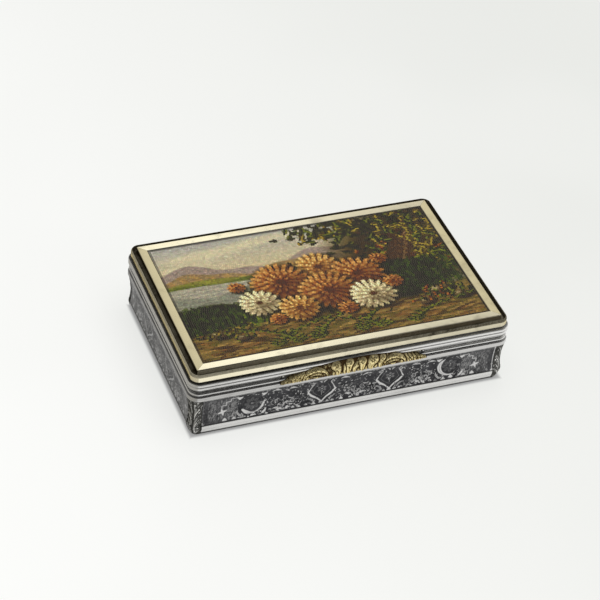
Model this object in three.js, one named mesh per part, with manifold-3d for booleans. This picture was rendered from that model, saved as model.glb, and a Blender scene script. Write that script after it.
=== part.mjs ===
// A silver snuff box. The base has niello walls between corner pilasters, and the lid carries
// a mosaic picture in a gold frame. Sizes are in millimetres. Heights run up from the face
// that the box rests on. Outsets run outwards from the upright face of the gold rim, so a
// piece with a negative outset lies inside that face.
import * as THREE from "three";
import { mergeVertices } from "three/addons/utils/BufferGeometryUtils.js";
import Module from "manifold-3d";

const wasm = await Module();
wasm.setup();

// Plan of the box, at the gold rim.
const RIM_LENGTH = 86;
const RIM_WIDTH = 55.4;
const CORNER_RADIUS = 2.4;

// Base: foot moulding, hollow niello walls, corner pilasters and the ledge above them.
const FOOT_HEIGHT = 3.35;
const FOOT_TOE = -0.9;
const FOOT_SWELL = 1.2;
const WALL_TOP = 12;
const WALL_FOOT_OUTSET = 0.2;
const WALL_TOP_OUTSET = 0.55;
const WALL_HOLLOW = 0.53;
const WALL_DEPTH = 1.25;
const PILASTER_WIDTH = 2.9;
const PILASTER_PROUD = 0.1;
const LEDGE_HEIGHT = 1.35;
const LEDGE_OUTSET = 0.65;
const LEDGE_EDGE = 0.1;
const LEDGE_COVE = 0.55;
const BOTTOM_THICKNESS = 0.8;
const LINING_THICKNESS = 0.6;
const LIP_RISE = 1.5;

// Lid: silver band with a bead and two reeds, gilt plate, and the gold rim.
const BAND_HEIGHT = 4.5;
const BAND_FACE = -0.05;
const BEAD_RADIUS = 0.33;
const BEAD_RISE = 0.42;
const BEAD_OUTSET = 0.45;
const REED_COUNT = 2;
const REED_HEIGHT = 0.95;
const REED_OUTSET = 0.62;
const REED_HALF_ANGLE = 60;
const REED_DROP = 0.36;
const LID_PLATE_THICKNESS = 0.75;
const RIM_HEIGHT = 1.92;
const RIM_EDGE = 0.38;
const RIM_ROUND = 0.25;
const CHANNEL_DEPTH = 0.75;
const CHANNEL_WIDTH = 1.32;

// Picture: mitred frame, and the mosaic on its cement bed in a metal tray.
const FRAME_WIDTH = 2.22;
const FRAME_HEIGHT = 1.42;
const FRAME_BEVEL = 0.15;
const FRAME_LIP = 0.5;
const FRAME_LIP_THICKNESS = 0.35;
const MITRE_GAP = 0.04;
const TRAY_FLOOR = 0.5;
const TRAY_WALL = 0.4;
const MOSAIC_THICKNESS = 0.75;
const MOSAIC_RECESS = 0.05;

// Thumbpiece, a lens-shaped spray of scrolls on the front of the lid.
const THUMB_LENGTH = 40;
const THUMB_HEIGHT = 4.3;
const THUMB_TIP = 0.6;
const THUMB_DROP = 0.35;
const THUMB_SEAT = 0.35;
const THUMB_FACE = 1.4;
const THUMB_EDGE = 0.15;
const THUMB_MARGIN = 0.25;
const THUMB_CLEARANCE = 0.15;
const ARCH_POWER = 2.5;
const CROWN_START = 0.3;
const CROWN_END = 0.65;
const SCROLL_COUNT = 3;
const SCROLL_RADIUS = 1.5;
const SCROLL_RISE = 0.45;
const SCROLL_SHRINK = 0.72;
const SCROLL_STRETCH = 1.8;

// Rivets in the hollow of the band, one above each tip of the thumbpiece.
const RIVET_INSET = 0.9;
const RIVET_HEAD_RADIUS = 0.42;
const RIVET_HEAD_HEIGHT = 0.3;
const RIVET_SHANK_RADIUS = 0.28;
const RIVET_SHANK_LENGTH = 0.9;

// Hinge along the back, with base knuckles at both ends.
const HINGE_INSET = 11.5;
const BASE_KNUCKLES = 4;
const KNUCKLE_RADIUS = 1.15;
const KNUCKLE_END_GAP = 0.16;
const PIN_RADIUS = 0.5;
const PIN_CLEARANCE = 0.08;

// Clearances. Soldered and set pieces keep a solder line, and moving ones run free.
const SOLDER_LINE = 0.03;
const RUNNING_GAP = 0.12;
const SEAM_GAP = 0.08;
const LIP_CLEARANCE = 0.1;

// Smoothness of round shapes.
const CORNER_STEPS = 4;
const BEAD_STEPS = 4;
const REED_STEPS = 4;
const ROUND_STEPS = 2;
const ARCH_STEPS = 18;
const FOOT_STEPS = 4;
const WALL_STEPS = 6;
const HINGE_SIDES = 20;
const RIVET_SIDES = 12;
const SCROLL_SIDES = 12;
const MERGE_DISTANCE = 1e-4;

// Heights that follow from the sizes above.
const ledgeTop = WALL_TOP + LEDGE_HEIGHT;
const bandBottom = ledgeTop + SEAM_GAP;
const bandTop = bandBottom + BAND_HEIGHT;
const lipTop = ledgeTop + LIP_RISE;
const rimBottom = bandTop + SOLDER_LINE;
const rimTop = rimBottom + RIM_HEIGHT;
const channelFloor = rimTop - CHANNEL_DEPTH;
const frameBottom = channelFloor + SOLDER_LINE;
const frameTop = frameBottom + FRAME_HEIGHT;
const frameLipBottom = frameTop - FRAME_LIP_THICKNESS;
const trayBottom = bandTop + SOLDER_LINE;
const trayTop = frameLipBottom - SOLDER_LINE;
const mosaicTop = frameTop - MOSAIC_RECESS;
const mosaicBottom = mosaicTop - MOSAIC_THICKNESS;
const thumbBottom = ledgeTop - THUMB_DROP;
const hingeHeight = (ledgeTop + bandBottom) / 2;

// Outsets that follow from the sizes above.
const liningOutside = -WALL_DEPTH - SOLDER_LINE;
const liningInside = liningOutside - LINING_THICKNESS;
const bandInside = liningOutside + LIP_CLEARANCE;
const frameOutside = -RIM_EDGE - CHANNEL_WIDTH;
const frameInside = frameOutside - FRAME_WIDTH;
const frameRebate = frameInside + FRAME_LIP;
const trayOutside = frameRebate - SOLDER_LINE;
const trayInside = trayOutside - TRAY_WALL;

const hingeBack = RIM_WIDTH / 2 + LEDGE_OUTSET;
const knuckleCount = 2 * BASE_KNUCKLES - 1;
const hingeEnd = RIM_LENGTH / 2 - HINGE_INSET;
const knucklePitch = (2 * hingeEnd) / knuckleCount;

const SILVER = { color: 0xb9b8b3, roughness: 0.28, metalness: 1 };
const NIELLO = { color: 0x4b4b4a, roughness: 0.45, metalness: 0.8 };
const GOLD = { color: 0xd9cb98, roughness: 0.22, metalness: 1 };
const GILT = { color: 0xc9a95a, roughness: 0.35, metalness: 1 };
const COPPER = { color: 0x9c6a45, roughness: 0.6, metalness: 0.9 };
const CEMENT = { color: 0xa8977a, roughness: 0.95, metalness: 0 };
const MOSAIC = { color: 0x7b7d52, roughness: 0.5, metalness: 0 };

const SIDES = [
  { name: "front", alongX: true, sign: -1 },
  { name: "back", alongX: true, sign: 1 },
  { name: "left", alongX: false, sign: -1 },
  { name: "right", alongX: false, sign: 1 },
];

const CORNERS = [
  { name: "back_right", x: 1, y: 1, turn: 0 },
  { name: "back_left", x: -1, y: 1, turn: 1 },
  { name: "front_left", x: -1, y: -1, turn: 2 },
  { name: "front_right", x: 1, y: -1, turn: 3 },
];

// Joins the shared corners of a closed geometry and makes it a solid that can be cut.
function solidOf(geometry) {
  const loose = geometry.index ? geometry.toNonIndexed() : geometry.clone();
  loose.deleteAttribute("normal");
  loose.deleteAttribute("uv");
  const merged = mergeVertices(loose, MERGE_DISTANCE);
  const triangles = [];
  for (let i = 0; i < merged.index.count; i += 3) {
    const [a, b, c] = merged.index.array.subarray(i, i + 3);
    if (a !== b && b !== c && c !== a) triangles.push(a, b, c);
  }
  return new wasm.Manifold(
    new wasm.Mesh({
      numProp: 3,
      vertProperties: merged.attributes.position.array,
      triVerts: new Uint32Array(triangles),
    }),
  );
}

// Gives the surface of a solid back as a geometry.
function geometryOf(solid) {
  const mesh = solid.getMesh();
  const geometry = new THREE.BufferGeometry();
  geometry.setAttribute("position", new THREE.BufferAttribute(mesh.vertProperties, 3));
  geometry.setIndex(new THREE.BufferAttribute(mesh.triVerts, 1));
  geometry.computeVertexNormals();
  return geometry;
}

function addPiece(group, name, solid, finish) {
  const mesh = new THREE.Mesh(geometryOf(solid), new THREE.MeshStandardMaterial(finish));
  mesh.name = name;
  group.add(mesh);
}

// Points of an arc, from one angle to another in degrees, as outset and height.
function arc(outset, height, radius, from, to, steps) {
  const points = [];
  for (let i = 0; i <= steps; i++) {
    const angle = THREE.MathUtils.degToRad(THREE.MathUtils.lerp(from, to, i / steps));
    points.push([outset + radius * Math.cos(angle), height + radius * Math.sin(angle)]);
  }
  return points;
}

// Carries a closed section round the box. The section lists outset and height, anticlockwise
// with outset to the right. Outsets that reach past the corner radius meet in a sharp corner.
function ring(section, cornerRadius = CORNER_RADIUS) {
  const positions = [];
  for (const corner of CORNERS) {
    const centreX = corner.x * (RIM_LENGTH / 2 - cornerRadius);
    const centreY = corner.y * (RIM_WIDTH / 2 - cornerRadius);
    for (let i = 0; i <= CORNER_STEPS; i++) {
      const angle = (corner.turn + i / CORNER_STEPS) * (Math.PI / 2);
      for (const [outset, height] of section) {
        const radius = cornerRadius + outset;
        const alongX = radius > 0 ? Math.cos(angle) : corner.x;
        const alongY = radius > 0 ? Math.sin(angle) : corner.y;
        positions.push(centreX + radius * alongX, centreY + radius * alongY, height);
      }
    }
  }
  const stations = CORNERS.length * (CORNER_STEPS + 1);
  const indices = [];
  for (let station = 0; station < stations; station++) {
    const here = station * section.length;
    const next = ((station + 1) % stations) * section.length;
    for (let i = 0; i < section.length; i++) {
      const j = (i + 1) % section.length;
      indices.push(here + i, next + i, next + j, here + i, next + j, here + j);
    }
  }
  const geometry = new THREE.BufferGeometry();
  geometry.setAttribute("position", new THREE.Float32BufferAttribute(positions, 3));
  geometry.setIndex(indices);
  return solidOf(geometry);
}

// A flat plate with its edge at an outset, and with corners that follow those of the box.
function plate(outset, bottom, top, cornerRadius = CORNER_RADIUS) {
  const halfLength = RIM_LENGTH / 2 + outset;
  const halfWidth = RIM_WIDTH / 2 + outset;
  const radius = cornerRadius + outset;
  const outline = new THREE.Shape();
  for (const corner of CORNERS) {
    if (radius > 0) {
      const start = (corner.turn * Math.PI) / 2;
      const centreX = corner.x * (halfLength - radius);
      const centreY = corner.y * (halfWidth - radius);
      outline.absarc(centreX, centreY, radius, start, start + Math.PI / 2);
    } else if (corner === CORNERS[0]) {
      outline.moveTo(corner.x * halfLength, corner.y * halfWidth);
    } else {
      outline.lineTo(corner.x * halfLength, corner.y * halfWidth);
    }
  }
  const shape = { depth: top - bottom, bevelEnabled: false, curveSegments: CORNER_STEPS };
  return solidOf(new THREE.ExtrudeGeometry(outline, shape).translate(0, 0, bottom));
}

// A box between two opposite corners.
function block(low, high) {
  const size = high.map((value, axis) => value - low[axis]);
  const middle = high.map((value, axis) => (value + low[axis]) / 2);
  return solidOf(new THREE.BoxGeometry(...size).translate(...middle));
}

// The part of the plan where the mouldings of one side run between the pilasters.
function betweenPilasters(side) {
  const halfAlong = (side.alongX ? RIM_LENGTH : RIM_WIDTH) / 2 - PILASTER_WIDTH - SOLDER_LINE;
  const face = side.sign * ((side.alongX ? RIM_WIDTH : RIM_LENGTH) / 2);
  const near = Math.min(face - WALL_DEPTH - LEDGE_OUTSET, face + WALL_DEPTH + LEDGE_OUTSET);
  const far = Math.max(face - WALL_DEPTH - LEDGE_OUTSET, face + WALL_DEPTH + LEDGE_OUTSET);
  const low = side.alongX ? [-halfAlong, near, 0] : [near, -halfAlong, 0];
  const high = side.alongX ? [halfAlong, far, WALL_TOP] : [far, halfAlong, WALL_TOP];
  return block(low, high);
}

// The part of the plan that one corner pilaster takes up.
function pilasterBlock(corner) {
  const reach = PILASTER_WIDTH + LEDGE_OUTSET;
  const innerX = RIM_LENGTH / 2 - PILASTER_WIDTH;
  const innerY = RIM_WIDTH / 2 - PILASTER_WIDTH;
  const xs = [corner.x * innerX, corner.x * (innerX + reach)].sort((a, b) => a - b);
  const ys = [corner.y * innerY, corner.y * (innerY + reach)].sort((a, b) => a - b);
  return block([xs[0], ys[0], 0], [xs[1], ys[1], WALL_TOP]);
}

// Outer line of the foot moulding, which swells from its toe to its top.
function footLine(proud) {
  const points = [];
  for (let i = 0; i <= FOOT_STEPS; i++) {
    const share = i / FOOT_STEPS;
    const swell = FOOT_SWELL * Math.sin((share * Math.PI) / 2);
    points.push([FOOT_TOE + swell + proud, share * FOOT_HEIGHT]);
  }
  return points;
}

// Outer line of the wall, drawn in between its foot and its top.
function wallLine(proud) {
  const points = [];
  const bottom = FOOT_HEIGHT + SOLDER_LINE;
  for (let i = 0; i <= WALL_STEPS; i++) {
    const share = i / WALL_STEPS;
    const straight = THREE.MathUtils.lerp(WALL_FOOT_OUTSET, WALL_TOP_OUTSET, share);
    const hollow = 4 * WALL_HOLLOW * share * (1 - share);
    points.push([straight - hollow + proud, THREE.MathUtils.lerp(bottom, WALL_TOP, share)]);
  }
  return points;
}

// Closes an outer line with an upright back, to make the section of a ring.
function backed(line, back) {
  const bottom = line[0][1];
  const top = line[line.length - 1][1];
  return [[back, bottom], ...line, [back, top]];
}

function addFootAndWalls(base) {
  const foot = ring(backed(footLine(0), -WALL_DEPTH));
  const wall = ring(backed(wallLine(0), -WALL_DEPTH));
  for (const side of SIDES) {
    addPiece(base, "foot_" + side.name, foot.intersect(betweenPilasters(side)), SILVER);
    addPiece(base, "wall_" + side.name, wall.intersect(betweenPilasters(side)), NIELLO);
  }
}

function addPilasters(base) {
  const line = [...footLine(PILASTER_PROUD), ...wallLine(PILASTER_PROUD)];
  const posts = ring(backed(line, -WALL_DEPTH));
  for (const corner of CORNERS) {
    addPiece(base, "pilaster_" + corner.name, posts.intersect(pilasterBlock(corner)), SILVER);
  }
}

// The ledge lies on the walls, and coves in towards the seam under the lid.
function ledgeRing() {
  const bottom = WALL_TOP + SOLDER_LINE;
  return ring([
    [-WALL_DEPTH, bottom],
    [LEDGE_OUTSET - LEDGE_EDGE, bottom],
    [LEDGE_OUTSET, bottom + LEDGE_EDGE],
    [LEDGE_OUTSET, ledgeTop - 2 * LEDGE_EDGE],
    [LEDGE_OUTSET - LEDGE_EDGE, ledgeTop - LEDGE_EDGE],
    [LEDGE_OUTSET - LEDGE_COVE, ledgeTop],
    [-WALL_DEPTH, ledgeTop],
  ]);
}

// The lining stands on the bottom plate, and its upper edge is the lip inside the lid.
function liningRing() {
  const bottom = BOTTOM_THICKNESS + SOLDER_LINE;
  return ring([
    [liningInside, bottom],
    [liningOutside, bottom],
    [liningOutside, lipTop],
    [liningInside, lipTop],
  ]);
}

// The band: a bead low down, a hollow, then reeds up to the undercut below the gold rim.
function bandRing() {
  const beadHeight = bandBottom + BEAD_RISE + BEAD_RADIUS;
  const reedsBottom = bandTop - REED_DROP - REED_COUNT * REED_HEIGHT;
  const reedRadius = REED_HEIGHT / 2 / Math.sin(THREE.MathUtils.degToRad(REED_HALF_ANGLE));
  const section = [
    [bandInside, bandBottom],
    [BAND_FACE, bandBottom],
    ...arc(BEAD_OUTSET - BEAD_RADIUS, beadHeight, BEAD_RADIUS, -90, 90, BEAD_STEPS),
    [BAND_FACE, beadHeight + BEAD_RADIUS],
    [BAND_FACE, reedsBottom],
  ];
  for (let reed = 0; reed < REED_COUNT; reed++) {
    const middle = reedsBottom + (reed + 0.5) * REED_HEIGHT;
    const centre = REED_OUTSET - reedRadius;
    section.push(
      ...arc(centre, middle, reedRadius, -REED_HALF_ANGLE, REED_HALF_ANGLE, REED_STEPS),
    );
  }
  section.push([BAND_FACE, bandTop - REED_DROP], [BAND_FACE, bandTop], [bandInside, bandTop]);
  return ring(section);
}

// The rim: an upright edge rounded over at the top, and a flange that floors the channel.
function rimRing() {
  return ring([
    [frameRebate, rimBottom],
    [0, rimBottom],
    ...arc(-RIM_ROUND, rimTop - RIM_ROUND, RIM_ROUND, 0, 90, ROUND_STEPS),
    [-RIM_EDGE, rimTop],
    [-RIM_EDGE, channelFloor],
    [frameRebate, channelFloor],
  ]);
}

// Four mitred strips. Each has a rebate below, which holds down the edge of the tray.
function addFrame(lid) {
  const whole = ring(
    [
      [frameRebate, frameBottom],
      [frameOutside, frameBottom],
      [frameOutside, frameTop - FRAME_BEVEL],
      [frameOutside - FRAME_BEVEL, frameTop],
      [frameInside, frameTop],
      [frameInside, frameLipBottom],
      [frameRebate, frameLipBottom],
    ],
    0,
  );
  for (const side of SIDES) {
    addPiece(lid, "frame_" + side.name, whole.intersect(mitreWedge(side)), GOLD);
  }
}

// A wedge whose plan runs at 45 degrees from the corners of the box, drawn back by half the
// mitre gap.
function mitreWedge(side) {
  const halfAlong = (side.alongX ? RIM_LENGTH : RIM_WIDTH) / 2;
  const halfAcross = (side.alongX ? RIM_WIDTH : RIM_LENGTH) / 2;
  const depth = FRAME_WIDTH - frameOutside;
  const drawn = (MITRE_GAP * Math.SQRT2) / 2;
  const corners = [
    [-halfAlong + drawn, -halfAcross],
    [halfAlong - drawn, -halfAcross],
    [halfAlong - drawn - depth, -halfAcross + depth],
    [-halfAlong + drawn + depth, -halfAcross + depth],
  ];
  const outline = new THREE.Shape(corners.map(([x, y]) => new THREE.Vector2(x, y)));
  const wedge = new THREE.ExtrudeGeometry(outline, {
    depth: FRAME_HEIGHT,
    bevelEnabled: false,
  });
  const turns = { front: 0, right: 1, back: 2, left: 3 };
  wedge.rotateZ((turns[side.name] * Math.PI) / 2);
  return solidOf(wedge.translate(0, 0, frameBottom));
}

function addPicture(lid) {
  const trayFloorTop = trayBottom + TRAY_FLOOR;
  const tray = plate(trayOutside, trayBottom, trayTop, 0);
  const pocket = plate(trayInside, trayFloorTop, frameTop, 0);
  const bedTop = mosaicBottom - SOLDER_LINE;
  const bed = plate(trayInside - SOLDER_LINE, trayFloorTop + SOLDER_LINE, bedTop, 0);
  const face = plate(frameInside - SOLDER_LINE, mosaicBottom, mosaicTop, 0);
  addPiece(lid, "mosaic_tray", tray.subtract(pocket), COPPER);
  addPiece(lid, "mosaic_cement", bed, CEMENT);
  addPiece(lid, "mosaic_face", face, MOSAIC);
}

// Height of the thumbpiece at a place along it: tallest in the middle, and low at the tips.
function archHeight(x) {
  const share = Math.min(Math.abs(x) / (THUMB_LENGTH / 2), 1);
  return THUMB_TIP + (THUMB_HEIGHT - THUMB_TIP) * (1 - share ** ARCH_POWER);
}

// Carries a section along the front of the box, from tip to tip of the thumbpiece and past
// them by a margin. The section is given for the height that the arch has at each place.
function underArch(sectionAt, margin) {
  const half = THUMB_LENGTH / 2 + margin;
  const sections = [];
  const positions = [];
  for (let i = 0; i <= ARCH_STEPS; i++) {
    const x = THREE.MathUtils.lerp(-half, half, i / ARCH_STEPS);
    sections.push(sectionAt(archHeight(x)));
    for (const [outset, height] of sections[i]) {
      positions.push(x, -RIM_WIDTH / 2 - outset, height);
    }
  }
  const count = sections[0].length;
  const last = ARCH_STEPS * count;
  const indices = [];
  for (let here = 0; here < last; here += count) {
    for (let i = 0; i < count; i++) {
      const j = (i + 1) % count;
      const next = here + count;
      indices.push(here + i, next + i, next + j, here + i, next + j, here + j);
    }
  }
  for (let i = 1; i < count - 1; i++) {
    indices.push(0, i, i + 1, last, last + i + 1, last + i);
  }
  const geometry = new THREE.BufferGeometry();
  geometry.setAttribute("position", new THREE.Float32BufferAttribute(positions, 3));
  geometry.setIndex(indices);
  return solidOf(geometry);
}

// The seat of the thumbpiece: a recess in the band, wider than the piece by the margin.
function thumbRecess() {
  const bottom = thumbBottom - THUMB_MARGIN;
  return underArch(
    (height) => [
      [-THUMB_SEAT, bottom],
      [THUMB_FACE, bottom],
      [THUMB_FACE, thumbBottom + height + THUMB_MARGIN],
      [-THUMB_SEAT, thumbBottom + height + THUMB_MARGIN],
    ],
    THUMB_MARGIN,
  );
}

// The thumbpiece: a crowned body that seats in the band and hangs clear of the ledge, with a
// row of scroll bosses that grow smaller towards the tips.
function thumbpiece() {
  const back = -THUMB_SEAT + SOLDER_LINE;
  const edge = LEDGE_OUTSET + THUMB_CLEARANCE + THUMB_EDGE;
  let solid = underArch((height) => {
    const face = THREE.MathUtils.lerp(edge, THUMB_FACE, height / THUMB_HEIGHT);
    return [
      [back, thumbBottom],
      [edge, thumbBottom],
      [face, thumbBottom + CROWN_START * height],
      [face, thumbBottom + CROWN_END * height],
      [edge, thumbBottom + height],
      [back, thumbBottom + height],
    ];
  }, 0);
  let along = 0;
  let radius = SCROLL_RADIUS;
  for (let scroll = 0; scroll < SCROLL_COUNT; scroll++) {
    for (const side of along > 0 ? [-1, 1] : [0]) {
      const boss = new THREE.SphereGeometry(radius, SCROLL_SIDES, SCROLL_SIDES / 2);
      boss.scale(SCROLL_STRETCH, SCROLL_RISE / radius, 1);
      const height = thumbBottom + archHeight(along) / 2;
      boss.translate(side * along, -RIM_WIDTH / 2 - THUMB_FACE, height);
      solid = solid.add(solidOf(boss));
    }
    along += radius * SCROLL_STRETCH * (1 + SCROLL_SHRINK);
    radius *= SCROLL_SHRINK;
  }
  const half = THUMB_LENGTH / 2;
  const ledgeFace = -RIM_WIDTH / 2 - LEDGE_OUTSET - THUMB_CLEARANCE;
  const ledgeRoom = block([-half, ledgeFace, 0], [half, 0, bandBottom + SEAM_GAP]);
  return solid.subtract(ledgeRoom);
}

// Turns a shape that stands on the Z axis so that it points forwards out of the front.
function facingFront(geometry, x, outset, height) {
  geometry.rotateX(Math.PI / 2);
  return solidOf(geometry.translate(x, -RIM_WIDTH / 2 - outset, height));
}

function rivet(x, height) {
  const profile = [new THREE.Vector2(0, -RIVET_SHANK_LENGTH)];
  profile.push(new THREE.Vector2(RIVET_SHANK_RADIUS, -RIVET_SHANK_LENGTH));
  profile.push(new THREE.Vector2(RIVET_SHANK_RADIUS, 0));
  for (let i = 0; i <= ROUND_STEPS + 1; i++) {
    const angle = (i / (ROUND_STEPS + 1)) * (Math.PI / 2);
    const radius = i > ROUND_STEPS ? 0 : RIVET_HEAD_RADIUS * Math.cos(angle);
    profile.push(new THREE.Vector2(radius, RIVET_HEAD_HEIGHT * Math.sin(angle)));
  }
  const turned = new THREE.LatheGeometry(profile, RIVET_SIDES);
  turned.rotateX(Math.PI / 2);
  return facingFront(turned, x, BAND_FACE + SOLDER_LINE, height);
}

function rivetHole(x, height) {
  const radius = RIVET_SHANK_RADIUS + SOLDER_LINE;
  const drill = new THREE.CylinderGeometry(radius, radius, 4 * WALL_DEPTH, RIVET_SIDES);
  drill.rotateX(Math.PI / 2);
  return facingFront(drill, x, BAND_FACE, height);
}

// A bar with its round section on the hinge axis, between two places along the box.
function hingeBar(radius, from, to) {
  const bar = new THREE.CylinderGeometry(radius, radius, to - from, HINGE_SIDES);
  bar.rotateZ(Math.PI / 2);
  return solidOf(bar.translate((from + to) / 2, hingeBack, hingeHeight));
}

// The hinge: knuckles of base and lid by turns, sunk in grooves of the ledge and the band.
function addHinge(base, lid, ledge, band) {
  const grooved = { ledge, band };
  let baseNumber = 0;
  let lidNumber = 0;
  for (let i = 0; i < knuckleCount; i++) {
    const onBase = i % 2 === 0;
    const start = -hingeEnd + i * knucklePitch;
    const from = start + KNUCKLE_END_GAP / 2;
    const to = start + knucklePitch - KNUCKLE_END_GAP / 2;
    const bore = hingeBar(PIN_RADIUS + PIN_CLEARANCE, start, start + knucklePitch);
    const knuckle = hingeBar(KNUCKLE_RADIUS, from, to).subtract(bore);
    const seat = hingeBar(KNUCKLE_RADIUS + SOLDER_LINE, start, start + knucklePitch);
    const room = hingeBar(KNUCKLE_RADIUS + RUNNING_GAP, start, start + knucklePitch);
    grooved.ledge = grooved.ledge.subtract(onBase ? seat : room);
    grooved.band = grooved.band.subtract(onBase ? room : seat);
    if (onBase) {
      baseNumber += 1;
      addPiece(base, "base_knuckle_" + baseNumber, knuckle, SILVER);
    } else {
      lidNumber += 1;
      addPiece(lid, "lid_knuckle_" + lidNumber, knuckle, SILVER);
    }
  }
  const pin = hingeBar(PIN_RADIUS, -hingeEnd, hingeEnd);
  addPiece(base, "hinge_pin", pin, SILVER);
  return grooved;
}

// Cuts the seat of the thumbpiece and the rivet holes in the band, and adds those pieces.
function addThumbAndRivets(lid, band) {
  const hollowMiddle = bandBottom + BEAD_RISE + 2 * BEAD_RADIUS;
  const reedsBottom = bandTop - REED_DROP - REED_COUNT * REED_HEIGHT;
  const height = (hollowMiddle + reedsBottom) / 2;
  let cut = band.subtract(thumbRecess());
  addPiece(lid, "thumbpiece", thumbpiece(), GOLD);
  for (const [name, side] of [["left", -1], ["right", 1]]) {
    const x = side * (THUMB_LENGTH / 2 - RIVET_INSET);
    cut = cut.subtract(rivetHole(x, height));
    addPiece(lid, "rivet_" + name, rivet(x, height), SILVER);
  }
  return cut;
}

function makeBox() {
  const box = new THREE.Group();
  const base = new THREE.Group();
  const lid = new THREE.Group();
  box.add(base, lid);
  addPiece(base, "bottom_plate", plate(liningOutside, 0, BOTTOM_THICKNESS), GILT);
  addFootAndWalls(base);
  addPilasters(base);
  addPiece(base, "gilt_lining", liningRing(), GILT);
  const grooved = addHinge(base, lid, ledgeRing(), bandRing());
  addPiece(base, "ledge_moulding", grooved.ledge, SILVER);
  addPiece(lid, "lid_band", addThumbAndRivets(lid, grooved.band), SILVER);
  const plateBottom = bandTop - LID_PLATE_THICKNESS;
  addPiece(lid, "lid_plate", plate(bandInside - SOLDER_LINE, plateBottom, bandTop), GILT);
  addPiece(lid, "lid_rim", rimRing(), GOLD);
  addFrame(lid);
  addPicture(lid);
  return box;
}

export default makeBox();
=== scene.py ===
# %% [markdown]
# # A silver snuff box with niello walls and a mosaic lid
#
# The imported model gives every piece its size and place. This lesson dresses it: the cast and
# rolled mouldings, the engraved walls filled with niello, the chased thumbpiece, the gold
# frame, and the picture of small glass tesserae. Lengths are in millimetres while a piece is
# being made, and turn into metres when it is put in place.

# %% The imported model
import math

import bmesh
import bpy
import numpy as np
from mathutils import Matrix, Vector


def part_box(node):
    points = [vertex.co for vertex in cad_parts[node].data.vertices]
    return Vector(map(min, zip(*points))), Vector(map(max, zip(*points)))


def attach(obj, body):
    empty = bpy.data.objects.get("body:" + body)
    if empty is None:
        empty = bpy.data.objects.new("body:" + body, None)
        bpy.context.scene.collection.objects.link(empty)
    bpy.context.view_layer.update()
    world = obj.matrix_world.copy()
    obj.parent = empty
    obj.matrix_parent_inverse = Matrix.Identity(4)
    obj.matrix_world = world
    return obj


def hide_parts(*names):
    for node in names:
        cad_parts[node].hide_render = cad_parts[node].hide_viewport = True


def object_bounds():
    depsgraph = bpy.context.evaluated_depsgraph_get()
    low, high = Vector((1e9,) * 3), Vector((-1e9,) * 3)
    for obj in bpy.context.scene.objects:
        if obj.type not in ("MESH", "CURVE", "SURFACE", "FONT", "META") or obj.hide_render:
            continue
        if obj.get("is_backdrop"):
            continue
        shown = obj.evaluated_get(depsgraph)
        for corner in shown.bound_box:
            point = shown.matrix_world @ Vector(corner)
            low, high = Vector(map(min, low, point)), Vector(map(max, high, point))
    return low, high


PER_METRE = 1000

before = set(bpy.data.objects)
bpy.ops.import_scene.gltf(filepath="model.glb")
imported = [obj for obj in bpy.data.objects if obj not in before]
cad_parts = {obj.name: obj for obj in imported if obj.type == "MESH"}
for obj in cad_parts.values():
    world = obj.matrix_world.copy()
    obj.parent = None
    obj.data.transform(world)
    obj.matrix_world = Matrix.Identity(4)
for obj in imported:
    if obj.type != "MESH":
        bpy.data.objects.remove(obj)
cad_low, cad_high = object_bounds()
cad_size = [round(PER_METRE * (b - a), 2) for a, b in zip(cad_low, cad_high)]
print(len(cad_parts), "pieces in the packed model, in a box of", cad_size, "mm")

# %% [markdown]
# ## Camera
#
# The box is seen from above its front left corner, through a long lens. The lens and the
# place of the camera come from the corners of the rim, the picture and the foot, so the
# angles are turned here into the three axes of the camera. The small roll is part of it.

# %% Camera
AZIMUTH, ELEVATION, ROLL = -0.403534, 0.672253, 0.085381
DISTANCE, SHIFT_X, SHIFT_Y = 573.209, 3.13213, -10.93427
SENSOR, LENS, NEAREST = 36, 128.74, 0.01

forward = Vector((
    -math.sin(AZIMUTH) * math.cos(ELEVATION),
    math.cos(AZIMUTH) * math.cos(ELEVATION),
    -math.sin(ELEVATION),
))
level = forward.cross(Vector((0, 0, 1))).normalized()
upright = level.cross(forward)
right = math.cos(ROLL) * level + math.sin(ROLL) * upright
up = -math.sin(ROLL) * level + math.cos(ROLL) * upright
place = -(SHIFT_X * right + SHIFT_Y * up + DISTANCE * forward)

camera = bpy.data.objects.new("camera", bpy.data.cameras.new("camera"))
bpy.context.scene.collection.objects.link(camera)
camera.data.sensor_width, camera.data.lens, camera.data.clip_start = SENSOR, LENS, NEAREST
camera.matrix_world = Matrix((
    (right.x, up.x, -forward.x, place.x / PER_METRE),
    (right.y, up.y, -forward.y, place.y / PER_METRE),
    (right.z, up.z, -forward.z, place.z / PER_METRE),
    (0, 0, 0, 1),
))
bpy.context.scene.camera = camera
bpy.context.scene.view_settings.view_transform = "Standard"
print("camera at", [round(v, 3) for v in camera.matrix_world.translation])

# %% [markdown]
# ## Writing shaders as sums
#
# A material is a net of nodes. Long nets are hard to read, so two small classes let a net be
# written as a sum: a Wire is one output socket and knows how to add and multiply itself, and
# a Bench adds any node and joins its sockets. Colours go through Mix, never through Math.

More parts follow.
